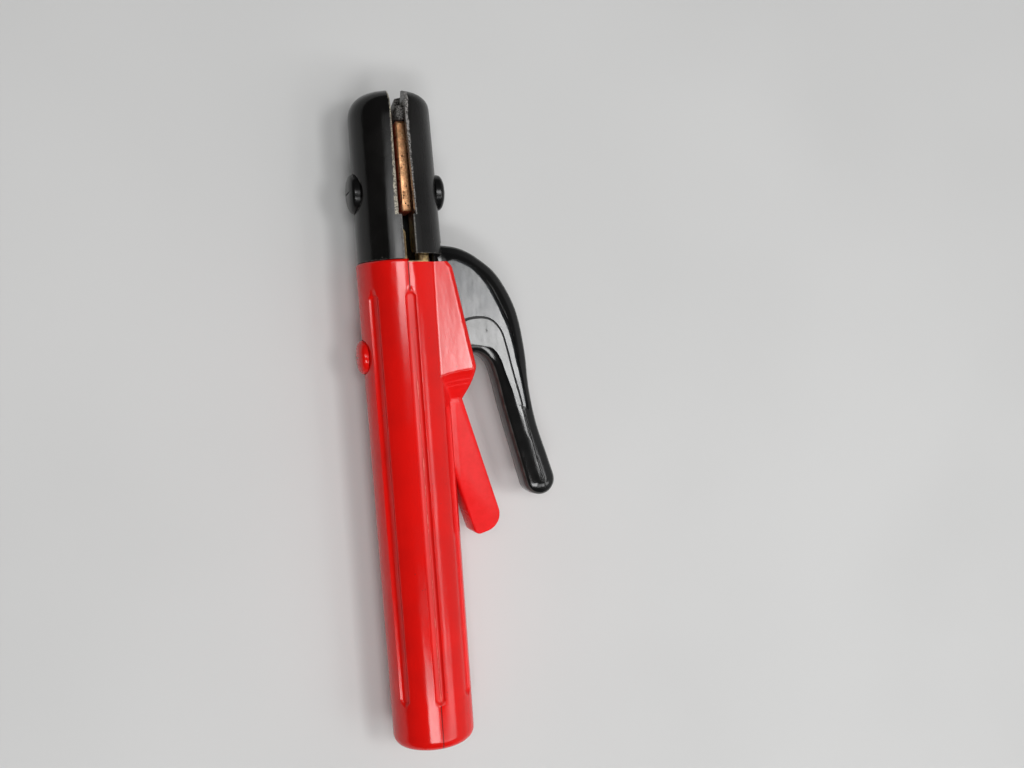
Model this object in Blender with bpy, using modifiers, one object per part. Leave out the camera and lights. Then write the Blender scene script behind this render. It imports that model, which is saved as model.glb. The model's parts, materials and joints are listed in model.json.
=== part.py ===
"""Insulated electrode holder with a pivoting jaw, for manual arc welding.

The holder lies along Y with its jaws toward +Y and its lever toward +X, and it is symmetric
about the XY plane. The origin is the middle of the cable socket's floor. Metres throughout.
"""

from math import atan2, cos, hypot, pi, radians, sin

import bmesh
import bpy
from mathutils import Matrix, Vector

# ---------------------------------------------------------------- driving dimensions
GAP = 0.0003              # between pieces that touch on the real holder
RUNNING_GAP = 0.00015     # between a pin and its hole
SIDES = 64                # facets round a large turned piece
SMALL_SIDES = 24          # facets round a small turned piece
SHANK_SIDES = 40          # facets round the shank and its bores
PROUD = 0.002             # how far a cutter stands out of what it cuts
SEAM = 0.999              # a joined piece is this share of its neighbour's thickness
THROUGH = 0.020           # half the length of a cutter that runs right through
SEAT_REACH = 0.010        # how far a cap's seat is cut clear outward

# Handle: a tapered tube. FRONT and REAR are its ends along Y.
FRONT = 0.062
HANDLE_LENGTH = 0.202
HANDLE_FRONT_RADIUS = 0.0179
HANDLE_REAR_RADIUS = 0.0171
HANDLE_REAR_ROUND = 0.004
HANDLE_BORE_RADIUS = 0.0132
HANDLE_MOUTH_RADIUS = 0.0150
HANDLE_MOUTH_DEPTH = 0.030
CABLE_HOLE_RADIUS = 0.011
REAR_WALL = 0.010
RIM_ROUND = 0.001
SLOT_EDGE_ROUND = 0.0012
FRONT_SETBACK = 0.0014    # the lever-side half of the front rim stands back

# Long grooves of the grip, by their angle from +Z
GROOVE_ANGLES = (0, 52, 128, 180, 232, 308)
HUMP_SIDE_GROOVES = (52, 128)
GROOVE_RADIUS = 0.0035
GROOVE_DEPTH = 0.0010
GROOVE_POINT = 0.007
GROOVE_POINT_SHAPE = ((0.0, 0.05), (0.15, 0.55), (0.45, 0.85), (1.0, 1.0))  # along, size
GROOVE_SIDES = 16
GROOVE_FRONT_INSET = 0.013
GROOVE_REAR_INSET = 0.019
HUMP_GROOVE_INSET = 0.061  # grooves beside the tongue start behind the hump

# Hump: the housing for the lever's root, with flat cheeks
HUMP_HALF_THICKNESS = 0.0142
HUMP_FRONT_X = 0.0190
HUMP_PEAK_X = 0.0268
HUMP_FLANK_LENGTH = 0.045
HUMP_LENGTH = 0.059
HUMP_CORNER = 0.005
HUMP_EDGE_ROUND = 0.0028
HUMP_FRONT_STATIONS = (0.02, 0.12, 0.3, 0.6, 1.0)   # shares of the front corner
HUMP_FLANK_STATIONS = (0.4, 0.75, 1.0)              # shares of the flank
SHOULDER_POWER = 1.7       # how the hump falls to the tongue behind its peak
SHOULDER_STEPS = 6
HUMP_ROOT_X = 0.002        # the rear of the hump starts inside the barrel's wall
SLOT_CLEARANCE = 0.0022
SLOT_LENGTH = 0.048

# Tongue: the stop that the lever is squeezed against
TONGUE_X = 0.0215          # outer face where it leaves the hump
TONGUE_ANGLE = radians(14.7)
TONGUE_WIDTH = 0.0132
TONGUE_HALF_THICKNESS = 0.0075
TONGUE_REACH = 0.0568      # along its outer face
TONGUE_ROOT = 0.0060       # how far it starts inside the hump
TONGUE_TIP_ROUNDS = (0.0075, 0.0026)   # of its outer and inner corner
TONGUE_EDGE_ROUND = 0.0010

# Fixed jaw arm: jaw bar, fork and shank in one casting
JAW_LENGTH = 0.0625        # from the handle's front to the jaw bar's end
JAW_ROUND = 0.0015
FIXED_BACK_X = -0.0100
FIXED_FACE_X = 0.0005
FIXED_CHANNEL_X = -0.0024     # floor of the channel that holds the fixed contact
SPINE_ROOT_X = 0.0022       # the spine is thick from the fork up to the step
SPINE_STEP = 0.012
SPINE_STEP_LENGTH = 0.005
FORK_LENGTH = 0.032
FORK_ROOT = 0.004           # how far the fork and the spine reach into the shank
FORK_HALF_THICKNESS = 0.0074
EAR_THICKNESS = 0.0030
EAR_RADIUS = 0.0080
SHANK_RADIUS = 0.0116
COLLAR_RADIUS = HANDLE_BORE_RADIUS - GAP
FRONT_COLLAR_LENGTH = 0.016
REAR_COLLAR_LENGTH = 0.010
COLLAR_CHAMFER = 0.0012
SHANK_FLAT_X = 0.0090
SOCKET_RADIUS = 0.0070
SOCKET_DEPTH = 0.044

# Pivot
PIVOT_X = 0.0070
PIVOT_INSET = 0.008
PIVOT_RADIUS = 0.0040
PIN_HEAD_RADIUS = 0.0056
PIN_HEAD_THICKNESS = 0.0012
WASHER_THICKNESS = 0.0007
WASHER_RADIUS = 0.0070
RING_RADIUS = 0.0056
RING_THICKNESS = 0.0009
RING_GROOVE_DEPTH = 0.0005
RING_MOUTH = 0.0044

# Moving jaw arm: jaw bar, neck, boss and tail in one casting
MOVING_FACE_X = 0.0067
MOVING_BACK_X = 0.0131
MOVING_JAW_HALF_THICKNESS = 0.0058
MOVING_JAW_SHORTER = 0.0042
MOVING_JAW_ROOT = 0.0045   # from the handle's front to the root of the bar
NECK_X = (0.0080, 0.0126)
NECK_REACH = 0.004          # how far the neck reaches into the jaw bar
NECK_ROUND = 0.0008
BOSS_RADIUS = 0.0072
TAIL_ANGLE = radians(-44)
TAIL_LENGTH = 0.0165
TAIL_HALF_WIDTH = 0.0052
TAIL_HALF_THICKNESS = 0.0026

# Copper contacts
CONTACT_HALF_THICKNESS = 0.0066
FIXED_CONTACT_HALF_THICKNESS = 0.0056
FIXED_CONTACT_REAR_INSET = 0.0155
CONTACT_REAR_INSET = 0.0205  # from the handle's front
CONTACT_LENGTH = 0.0375
CONTACT_ROUND = 0.0011
FIXED_GRIP_X = 0.0008
MOVING_GRIP_X = 0.0014
NOTCH_DEPTH = 0.0016
NOTCH_SPACING = 0.009
NOTCH_FIRST = 0.75         # spacings from the front end to the first notch
NOTCH_COUNT = 4

STUD_RADIUS = 0.0025          # of the insulated screws

# Jaw covers: half-round moulded shells
COVER_RADIUS = 0.0170
COVER_WALL = 0.0028
FIXED_COVER_TAPER = 0.005   # radius lost per metre of a cover's length
MOVING_COVER_TAPER = 0.018
COVER_REACH = 0.0707       # from the handle's front to the covers' tips
FIXED_DOME = 0.0130
MOVING_DOME = 0.0095
DOME_POWER = 2.8
COVER_TIP_WALL = 0.0070
CAVITY_CORNER = 0.0020
COVER_THROAT = (0.002, 0.004)   # where the spigot's bore starts and ends widening
COVER_BOSS_RADIUS = STUD_RADIUS + 0.0035
SPIGOT_LENGTH = 0.011
SPIGOT_WALL = 0.0018
MOVING_COVER_AXIS_X = 0.0015
MOVING_COVER_ROOT = 0.0022
WINDOW_REAR = 0.018        # from the handle's front to the window's rear step
FIXED_EDGE_X = -0.0008
FIXED_WINDOW_X = -0.0028
MOVING_EDGE_X = 0.0040
MOVING_WINDOW_X = (0.0065, 0.0052, 0.0062, 0.0076)   # from the rear step to the tip
FLARE_INSETS = (0.0117, 0.0052)   # the middle two of those places, from the tip
TIP_BLOCK_X = 0.0023
TIP_BLOCK_HALF = 0.0068
TIP_BLOCK_REACH = (0.0050, 0.0010)   # behind and ahead of the moving cover's end wall
TIP_BLOCK_ROUND = 0.0008
FIXED_TIP_GROOVE_RADIUS = 0.0046
MOVING_TIP_GROOVE_RADIUS = 0.0058

# Insulated screws: a steel stud in a moulded cap
STUD_GRIP = 0.0055
CAP_SOCKET = 0.0022
CAP_DOME = 0.0006
CAP_EDGE = 0.0013
CAP_SHOULDER = 0.0004
CAP_SLOT_WIDTH = 0.0016
CAP_SLOT_DEPTH = 0.0014
COVER_SCREW_INSET = 0.029  # from the handle's front
FIXED_CAP_RADIUS = 0.0080
FIXED_CAP_HEIGHT = 0.0045
MOVING_CAP_RADIUS = 0.0075
MOVING_CAP_HEIGHT = 0.0060
HANDLE_SCREW_INSET = 0.0385
HANDLE_CAP_RADIUS = 0.0070
HANDLE_CAP_HEIGHT = 0.0040

# Lever
LEVER_HALF_THICKNESS = 0.0070
LEVER_WEB_HALF_THICKNESS = 0.0044
LEVER_BAND_HALF_THICKNESS = 0.0054
LEVER_ROUND = 0.0028
LEVER_ROOT_RADIUS = 0.0084
LEVER_PIN_RADIUS = 0.0020
LEVER_PIN_PLACES = (0.0112, 0.0172)  # from the pivot along the tail

# Spring
SPRING_INSET = 0.034
SPRING_RADIUS = 0.0047
SPRING_WIRE = 0.0015
SPRING_TURNS = 5
SPRING_STEPS = 12             # a turn
SPRING_POCKET_RADIUS = 0.0058
SPRING_FLOOR_X = 0.0048
CUP_FLOOR_X = 0.0172
CUP_THICKNESS = 0.0007
CUP_RIM = 0.0020
CUP_RADIUS = 0.0062

# Cable clamp
CLAMP_SCREW_RADIUS = 0.0040
CLAMP_SCREW_INSETS = (0.012, 0.026)  # from the socket's floor
HEX_SOCKET_RADIUS = 0.0023
HEX_SOCKET_DEPTH = 0.0025
BUSH_WALL = 0.0008
BUSH_SLIT = 0.0015
BUSH_LENGTH = 0.038

# ---------------------------------------------------------------- derived places
REAR = FRONT - HANDLE_LENGTH
PIVOT_Y = FRONT - PIVOT_INSET
PIVOT = Vector((PIVOT_X, PIVOT_Y, 0))
HUMP_REAR = FRONT - HUMP_LENGTH
SLOT_HALF_THICKNESS = LEVER_HALF_THICKNESS + SLOT_CLEARANCE
BOSS_HALF_THICKNESS = FORK_HALF_THICKNESS - EAR_THICKNESS - WASHER_THICKNESS - 2 * RUNNING_GAP
EAR_INNER_Z = FORK_HALF_THICKNESS - EAR_THICKNESS
SHANK_FRONT = FRONT - FORK_LENGTH + FORK_ROOT
SCREW_Y = FRONT + COVER_SCREW_INSET
HANDLE_SCREW_Y = FRONT - HANDLE_SCREW_INSET
SPRING_Y = FRONT - SPRING_INSET
COVER_TIP = FRONT + COVER_REACH
WINDOW_Y = FRONT + WINDOW_REAR
SWINGING = ("moving_jaw_arm", "moving_contact", "moving_jaw_cover", "moving_jaw_cover_screw",
            "moving_jaw_cover_cap", "lever", "lever_pin_front", "lever_pin_rear", "spring_cup")


# ---------------------------------------------------------------- scene and materials
def clear_scene():
    for thing in list(bpy.data.objects):
        bpy.data.objects.remove(thing, do_unlink=True)


def new_collection(name):
    collection = bpy.data.collections.new(name)
    bpy.context.scene.collection.children.link(collection)
    return collection


def material(name, colour, roughness, metallic=0.0):
    made = bpy.data.materials.new(name)
    made.use_nodes = True
    shader = made.node_tree.nodes["Principled BSDF"]
    shader.inputs["Base Color"].default_value = (*colour, 1.0)
    shader.inputs["Roughness"].default_value = roughness
    shader.inputs["Metallic"].default_value = metallic
    return made


clear_scene()
PARTS = new_collection("electrode_holder")
CUTTERS = new_collection("cutters")
RED = material("red_moulding", (0.62, 0.012, 0.010), 0.32)
BLACK = material("black_moulding", (0.016, 0.016, 0.017), 0.38)
COVER_BLACK = material("black_cover", (0.012, 0.011, 0.011), 0.42)
BRASS = material("cast_brass", (0.58, 0.42, 0.17), 0.38, 1.0)
COPPER = material("sintered_copper", (0.72, 0.30, 0.12), 0.45, 1.0)
STEEL = material("plated_steel", (0.56, 0.56, 0.57), 0.28, 1.0)


# ---------------------------------------------------------------- modelling helpers
def add_object(name, mesh, finish=None):
    """Link a mesh as a visible piece, or as a cutter when it has no finish."""
    thing = bpy.data.objects.new(name, mesh)
    if finish is None:
        CUTTERS.objects.link(thing)
        thing.display_type = "WIRE"
        thing.hide_render = True
    else:
        PARTS.objects.link(thing)
        mesh.materials.append(finish)
    return thing


def mesh_from(bm, name, transform=Matrix()):
    mesh = bpy.data.meshes.new(name)
    bmesh.ops.transform(bm, matrix=transform, verts=bm.verts)
    bmesh.ops.recalc_face_normals(bm, faces=bm.faces)
    bm.to_mesh(mesh)
    bm.free()
    return mesh


def box(name, low, high, finish=None, round_edges=0.0):
    """A box between two corners, with its edges rounded if asked."""
    low, high = Vector(low), Vector(high)
    bm = bmesh.new()
    bmesh.ops.create_cube(bm, size=1.0)
    bmesh.ops.scale(bm, vec=high - low, verts=bm.verts)
    if round_edges:
        bmesh.ops.bevel(bm, geom=list(bm.edges), offset=round_edges, affect="EDGES",
                        segments=2, profile=0.5, material=-1)
    return add_object(name, mesh_from(bm, name, Matrix.Translation((low + high) / 2)), finish)


def axis_turn(axis):
    """The rotation that lays a piece turned about Z along the given axis."""
    return Vector((0, 0, 1)).rotation_difference(Vector(axis)).to_matrix().to_4x4()


def rod(name, start, end, radius, finish=None, sides=SMALL_SIDES, end_radius=None):
    """A cylinder or cone between two points."""
    start, end = Vector(start), Vector(end)
    bm = bmesh.new()
    bmesh.ops.create_cone(bm, cap_ends=True, segments=sides, radius1=radius,
                          radius2=radius if end_radius is None else end_radius,
                          depth=(end - start).length)
    place = Matrix.Translation((start + end) / 2) @ axis_turn(end - start)
    return add_object(name, mesh_from(bm, name, place), finish)


def turned(name, profile, axis, centre=(0, 0, 0), finish=None, sides=SMALL_SIDES):
    """A closed profile of (radius, height) points turned about an axis through the centre.

    The profile runs down the outer side from the top, and then back up the bore if it has one.
    """
    bm = bmesh.new()
    verts = [bm.verts.new((radius, 0, height)) for radius, height in profile]
    loop = verts + ([verts[0]] if profile[0][0] > 0 else [])
    for first, second in zip(loop, loop[1:]):
        bm.edges.new((first, second))
    mesh = bpy.data.meshes.new(name)
    bm.to_mesh(mesh)
    bm.free()
    thing = add_object(name, mesh, finish)
    thing.matrix_world = Matrix.Translation(centre) @ axis_turn(axis)
    screw = thing.modifiers.new("turn", "SCREW")
    screw.steps = screw.render_steps = sides
    screw.use_merge_vertices = True
    screw.merge_threshold = 0.00001
    screw.use_smooth_shade = False
    return thing


def extruded(name, outline, half_thickness, finish=None, round_edges=0.0, low=None):
    """A flat outline of (x, y) points given thickness along Z."""
    bottom = -half_thickness if low is None else low
    bm = bmesh.new()
    face = bm.faces.new([bm.verts.new((x, y, bottom)) for x, y in outline])
    rise = Vector((0, 0, half_thickness - bottom))
    grown = bmesh.ops.extrude_face_region(bm, geom=[face], use_keep_orig=True)
    bmesh.ops.translate(bm, vec=rise, verts=[v for v in grown["geom"]
                                             if isinstance(v, bmesh.types.BMVert)])
    bmesh.ops.recalc_face_normals(bm, faces=bm.faces)
    if round_edges:
        rims = [e for e in bm.edges if abs(e.verts[0].co.z - e.verts[1].co.z) < 1e-6]
        bmesh.ops.bevel(bm, geom=rims, offset=round_edges, affect="EDGES", segments=3,
                        profile=0.5, material=-1, clamp_overlap=True)
    return add_object(name, mesh_from(bm, name), finish)


def lofted(name, rings, finish=None):
    """A closed skin over rings of equally many points, capped at both ends."""
    bm = bmesh.new()
    rows = [[bm.verts.new(point) for point in ring] for ring in rings]
    count = len(rows[0])
    for upper, lower in zip(rows, rows[1:]):
        for i in range(count):
            j = (i + 1) % count
            bm.faces.new((upper[i], upper[j], lower[j], lower[i]))
    bm.faces.new(rows[0])
    bm.faces.new(rows[-1])
    return add_object(name, mesh_from(bm, name), finish)


def meshed_curve(name, curve, finish=None):
    """Turn a curve into a mesh with welded seams, and drop the curve."""
    drawn = bpy.data.objects.new(name + "_curve", curve)
    CUTTERS.objects.link(drawn)
    bpy.context.view_layer.update()
    evaluated = drawn.evaluated_get(bpy.context.evaluated_depsgraph_get())
    mesh = bpy.data.meshes.new_from_object(evaluated)
    bpy.data.objects.remove(drawn, do_unlink=True)
    bm = bmesh.new()
    bm.from_mesh(mesh)
    bmesh.ops.remove_doubles(bm, verts=bm.verts, dist=0.00001)
    bmesh.ops.recalc_face_normals(bm, faces=bm.faces)
    bm.to_mesh(mesh)
    bm.free()
    mesh.materials.clear()
    return add_object(name, mesh, finish)


def rounded_plate(name, outline, half_thickness, rim_round, finish=None):
    """A flat outline of (x, y) points given thickness along Z, with round rims."""
    curve = bpy.data.curves.new(name, "CURVE")
    curve.dimensions = "2D"
    curve.fill_mode = "BOTH"
    curve.extrude = half_thickness - rim_round
    curve.bevel_depth = rim_round
    curve.bevel_resolution = 2
    curve.offset = -rim_round
    spline = curve.splines.new("POLY")
    spline.points.add(len(outline) - 1)
    spline.use_cyclic_u = True
    for place, (x, y) in zip(spline.points, outline):
        place.co = (x, y, 0, 1)
    return meshed_curve(name, curve, finish)


def wire(name, points, radius, finish):
    """A round wire through the points."""
    curve = bpy.data.curves.new(name, "CURVE")
    curve.dimensions = "3D"
    curve.bevel_depth = radius
    curve.bevel_resolution = 1
    curve.use_fill_caps = True
    spline = curve.splines.new("POLY")
    spline.points.add(len(points) - 1)
    for place, point in zip(spline.points, points):
        place.co = (*point, 1)
    return meshed_curve(name, curve, finish)


def boolean(target, tool, operation):
    step = target.modifiers.new(tool.name, "BOOLEAN")
    step.operation = operation
    step.solver = "EXACT"
    step.object = tool


def cut(target, *tools):
    for tool in tools:
        boolean(target, tool, "DIFFERENCE")


def join(target, *tools):
    for tool in tools:
        boolean(target, tool, "UNION")


def smooth(thing, angle=radians(32)):
    thing.data.shade_smooth()
    thing.data.set_sharp_from_angle(angle=angle)


def arc(centre, radius, start, end, steps):
    """Points round an arc in a plane, angles in radians, both ends included."""
    return [(centre[0] + radius * cos(start + (end - start) * i / steps),
             centre[1] + radius * sin(start + (end - start) * i / steps))
            for i in range(steps + 1)]


def curve_through(points, steps):
    """A smooth open line through the points (Catmull-Rom), steps pieces to each span."""
    ends = [Vector(points[0]) * 2 - Vector(points[1]), *map(Vector, points),
            Vector(points[-1]) * 2 - Vector(points[-2])]
    line = []
    for a, b, c, d in zip(ends, ends[1:], ends[2:], ends[3:]):
        for i in range(steps):
            t = i / steps
            line.append(0.5 * ((2 * b) + (c - a) * t + (2 * a - 5 * b + 4 * c - d) * t * t
                               + (3 * b - a - 3 * c + d) * t ** 3))
    line.append(Vector(points[-1]))
    return [tuple(p) for p in line]


def stadium(start, end, half_width, steps=10):
    """A flat bar with round ends about two points."""
    heading = atan2(end[1] - start[1], end[0] - start[0])
    return (arc(end, half_width, heading - pi / 2, heading + pi / 2, steps)
            + arc(start, half_width, heading + pi / 2, heading + 3 * pi / 2, steps))


# ---------------------------------------------------------------- handle
def handle_radius(y):
    share = (FRONT - y) / HANDLE_LENGTH
    return HANDLE_FRONT_RADIUS + (HANDLE_REAR_RADIUS - HANDLE_FRONT_RADIUS) * share


def handle_barrel():
    """The grip's outside, still solid."""
    rear_round = arc((HANDLE_REAR_RADIUS - HANDLE_REAR_ROUND, REAR + HANDLE_REAR_ROUND),
                     HANDLE_REAR_ROUND, 0, -pi / 2, 5)
    profile = [(0, FRONT), (HANDLE_FRONT_RADIUS - RIM_ROUND / 2, FRONT),
               (HANDLE_FRONT_RADIUS, FRONT - RIM_ROUND), *rear_round, (0, REAR)]
    return turned("handle", profile, (0, 1, 0), finish=RED, sides=SIDES)


def handle_bore():
    """The way for the cable, the bore for the shank and the wide mouth, in one cutter."""
    step = HANDLE_BORE_RADIUS - CABLE_HOLE_RADIUS
    profile = [(0, FRONT + PROUD), (HANDLE_MOUTH_RADIUS, FRONT + PROUD),
               (HANDLE_MOUTH_RADIUS, FRONT - HANDLE_MOUTH_DEPTH),
               (HANDLE_BORE_RADIUS, FRONT - HANDLE_MOUTH_DEPTH - RIM_ROUND),
               (HANDLE_BORE_RADIUS, REAR + REAR_WALL + step),
               (CABLE_HOLE_RADIUS, REAR + REAR_WALL), (CABLE_HOLE_RADIUS, REAR + RIM_ROUND),
               (CABLE_HOLE_RADIUS + RIM_ROUND + PROUD, REAR - PROUD), (0, REAR - PROUD)]
    return turned("handle_bore", profile, (0, 1, 0), sides=SIDES)


def rounded_ring(y, inner_x, outer_x, half_thickness, corner):
    """A rounded rectangle across the holder at the station y."""
    corner = min(corner, (outer_x - inner_x) * 0.45, half_thickness * 0.9)
    ring = []
    for side_x, side_z, start in ((outer_x - corner, half_thickness - corner, 0),
                                  (inner_x + corner, half_thickness - corner, pi / 2),
                                  (inner_x + corner, corner - half_thickness, pi),
                                  (outer_x - corner, corner - half_thickness, 3 * pi / 2)):
        ring += [(x, y, z) for x, z in arc((side_x, side_z), corner, start, start + pi / 2, 3)]
    return ring


def hump_outer_x(y):
    """The hump's outer edge: a rounded front corner and a straight flank."""
    down = FRONT - y
    flank = HUMP_FRONT_X + (HUMP_PEAK_X - HUMP_FRONT_X) * min(down / HUMP_FLANK_LENGTH, 1)
    if down < HUMP_CORNER:
        return flank - HUMP_CORNER + (HUMP_CORNER ** 2 - (HUMP_CORNER - down) ** 2) ** 0.5
    return flank


def hump_rings():
    front = [FRONT - HUMP_CORNER * share for share in HUMP_FRONT_STATIONS]
    flank = [FRONT - HUMP_FLANK_LENGTH * share for share in HUMP_FLANK_STATIONS]
    rings = [rounded_ring(y, 0.0, hump_outer_x(y), HUMP_HALF_THICKNESS, HUMP_EDGE_ROUND)
             for y in front + flank]
    for i in range(1, SHOULDER_STEPS + 1):
        share = i / SHOULDER_STEPS
        fall = share ** SHOULDER_POWER
        y = FRONT - HUMP_FLANK_LENGTH - (HUMP_LENGTH - HUMP_FLANK_LENGTH) * share
        outer = HUMP_PEAK_X + (TONGUE_X - HUMP_PEAK_X) * fall
        half = HUMP_HALF_THICKNESS + (TONGUE_HALF_THICKNESS - HUMP_HALF_THICKNESS) * fall
        rings.append(rounded_ring(y, HUMP_ROOT_X, outer, half, HUMP_EDGE_ROUND))
    return rings


def build_tongue():
    """The tongue leans out from the handle; its tip is rounder on the outer side."""
    along = Vector((sin(TONGUE_ANGLE), -cos(TONGUE_ANGLE)))
    inward = Vector((-cos(TONGUE_ANGLE), -sin(TONGUE_ANGLE)))
    start = Vector((TONGUE_X, HUMP_REAR)) - along * TONGUE_ROOT
    end = Vector((TONGUE_X, HUMP_REAR)) + along * TONGUE_REACH
    outer_round, inner_round = TONGUE_TIP_ROUNDS
    outer_centre = end + (inward - along) * outer_round
    inner_centre = end + inward * (TONGUE_WIDTH - inner_round) - along * inner_round
    facing = TONGUE_ANGLE
    outline = [tuple(start), *arc(outer_centre, outer_round, facing, facing - pi / 2, 7),
               *arc(inner_centre, inner_round, facing - pi / 2, facing - pi, 4),
               tuple(start + inward * TONGUE_WIDTH)]
    return rounded_plate("tongue", outline, TONGUE_HALF_THICKNESS, TONGUE_EDGE_ROUND)


def groove_cutter(angle):
    """A long bullet-ended rod that leaves a shallow groove along the taper."""
    beside_hump = angle in HUMP_SIDE_GROOVES
    start = FRONT - (HUMP_GROOVE_INSET if beside_hump else GROOVE_FRONT_INSET)
    end = REAR + GROOVE_REAR_INSET
    turn = radians(angle)
    out = Vector((sin(turn), 0, cos(turn)))
    across = Vector((cos(turn), 0, -sin(turn)))
    stations = [(start - GROOVE_POINT * along, size) for along, size in GROOVE_POINT_SHAPE]
    stations += [(end + GROOVE_POINT * along, size) for along, size in reversed(GROOVE_POINT_SHAPE)]
    rings = []
    for y, size in stations:
        radius = GROOVE_RADIUS * size
        centre = out * (handle_radius(y) + radius - GROOVE_DEPTH * size ** 2) + Vector((0, y, 0))
        circle = arc((0, 0), radius, 0, 2 * pi, GROOVE_SIDES)[:-1]
        rings.append([centre + across * x + out * z for x, z in circle])
    return lofted(f"groove_{angle}", rings)


def build_handle():
    handle = handle_barrel()
    join(handle, lofted("hump", hump_rings()), build_tongue())
    slot = box("hump_slot", (0, FRONT - SLOT_LENGTH, -SLOT_HALF_THICKNESS),
               (HUMP_PEAK_X + PROUD, FRONT + PROUD, SLOT_HALF_THICKNESS), round_edges=SLOT_EDGE_ROUND)
    setback = box("rim_setback", (GAP, FRONT - FRONT_SETBACK, -HANDLE_FRONT_RADIUS - PROUD),
                  (HUMP_PEAK_X, FRONT + PROUD, HANDLE_FRONT_RADIUS + PROUD))
    cut(handle, handle_bore(), slot, setback)
    cut(handle, *(groove_cutter(angle) for angle in GROOVE_ANGLES))
    seat = cap_seat_x(handle_radius(HANDLE_SCREW_Y), HANDLE_CAP_RADIUS)
    cut(handle,
        rod("handle_screw_seat", (-seat, HANDLE_SCREW_Y, 0),
            (-HANDLE_FRONT_RADIUS - SEAT_REACH, HANDLE_SCREW_Y, 0), HANDLE_CAP_RADIUS + GAP),
        rod("handle_screw_hole", (-HANDLE_BORE_RADIUS + PROUD, HANDLE_SCREW_Y, 0),
            (-HANDLE_FRONT_RADIUS - PROUD, HANDLE_SCREW_Y, 0), STUD_RADIUS + GAP))
    smooth(handle)
    return handle


# ---------------------------------------------------------------- screws with moulded caps
def cap_seat_x(barrel_radius, cap_radius):
    """How far out a flat seat lies that a cap of this radius fills on a round barrel."""
    return (barrel_radius ** 2 - cap_radius ** 2) ** 0.5


def capped_screw(cap_name, stud_name, base, outward, radius, height, finish, inward_reach):
    """A moulded cap that sits at the base point, and its stud reaching inward from it."""
    outward = Vector(outward)
    base = Vector(base) + outward * GAP
    profile = [(0, height), (radius * 0.5, height - CAP_DOME * 0.25),
               (radius - CAP_EDGE - CAP_SHOULDER, height - CAP_DOME),
               (radius - CAP_EDGE * 0.3, height - CAP_DOME - CAP_EDGE * 0.3),
               (radius, height - CAP_DOME - CAP_EDGE), (radius, 0),
               (STUD_RADIUS + GAP, 0), (STUD_RADIUS + GAP, CAP_SOCKET), (0, CAP_SOCKET)]
    cap = turned(cap_name, profile, outward, base, finish)
    middle = base + outward * height
    reach = Vector((0, 0, radius + PROUD))
    half_width = Vector((0, CAP_SLOT_WIDTH / 2, 0))
    depth = Vector((CAP_SLOT_DEPTH, 0, 0))
    corners = (middle - reach - half_width - depth, middle + reach + half_width + depth)
    slot = box(f"{cap_name}_driver_slot", *corners)
    cut(cap, slot)
    smooth(cap)
    smooth(rod(stud_name, base + outward * (CAP_SOCKET - GAP), base - outward * inward_reach,
               STUD_RADIUS, STEEL))


# ---------------------------------------------------------------- jaw covers
def dome(tip, radius, length, steps=8):
    """The blunt rounded end of a cover, from the tip down to its full radius."""
    points = [(0.0, tip)]
    for i in range(1, steps + 1):
        turn = pi / 2 * i / steps
        share = sin(turn) ** (2 / DOME_POWER)
        rise = cos(turn) ** (2 / DOME_POWER) if i < steps else 0.0
        points.append((radius * share, tip - length + length * rise))
    return points


def fixed_cover_radius(y):
    return COVER_RADIUS - (y - FRONT) * FIXED_COVER_TAPER


def fixed_cap_seat_x():
    return cap_seat_x(fixed_cover_radius(SCREW_Y), FIXED_CAP_RADIUS)


def build_fixed_cover():
    inner = COVER_RADIUS - COVER_WALL
    spigot = HANDLE_MOUTH_RADIUS - GAP
    cavity_end = COVER_TIP - COVER_TIP_WALL
    profile = [*dome(COVER_TIP, fixed_cover_radius(COVER_TIP - FIXED_DOME), FIXED_DOME),
               (COVER_RADIUS, FRONT + GAP),
               (spigot, FRONT + GAP), (spigot, FRONT - SPIGOT_LENGTH),
               (spigot - SPIGOT_WALL, FRONT - SPIGOT_LENGTH),
               (spigot - SPIGOT_WALL, FRONT + COVER_THROAT[0]), (inner, FRONT + COVER_THROAT[1]),
               (inner, cavity_end - CAVITY_CORNER), (inner - CAVITY_CORNER, cavity_end),
               (0, cavity_end)]
    cover = turned("fixed_jaw_cover", profile, (0, 1, 0), finish=COVER_BLACK, sides=SIDES)
    wide = COVER_RADIUS + PROUD
    cut(cover,
        box("fixed_split", (FIXED_EDGE_X, FRONT - SPIGOT_LENGTH - PROUD, -wide),
            (wide, COVER_TIP + PROUD, wide)),
        box("fixed_window", (FIXED_WINDOW_X, WINDOW_Y, -wide), (wide, COVER_TIP + PROUD, wide)),
        rod("fixed_tip_groove", (FIXED_GRIP_X, cavity_end - PROUD, 0),
            (FIXED_GRIP_X, COVER_TIP + PROUD, 0), FIXED_TIP_GROOVE_RADIUS))
    boss = rod("fixed_cover_boss", (-inner - COVER_WALL / 2, SCREW_Y, 0),
               (FIXED_BACK_X - GAP, SCREW_Y, 0), COVER_BOSS_RADIUS)
    join(cover, boss)
    seat = fixed_cap_seat_x()
    cut(cover,
        rod("fixed_cap_seat", (-seat, SCREW_Y, 0), (-wide - SEAT_REACH, SCREW_Y, 0),
            FIXED_CAP_RADIUS + GAP),
        rod("fixed_cover_hole", (0, SCREW_Y, 0), (-wide, SCREW_Y, 0), STUD_RADIUS + GAP))
    smooth(cover)
    return cover


def moving_cover_radius(y):
    return COVER_RADIUS - (y - FRONT - MOVING_COVER_ROOT) * MOVING_COVER_TAPER


def moving_cap_seat_x():
    return MOVING_COVER_AXIS_X + cap_seat_x(moving_cover_radius(SCREW_Y), MOVING_CAP_RADIUS)


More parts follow.
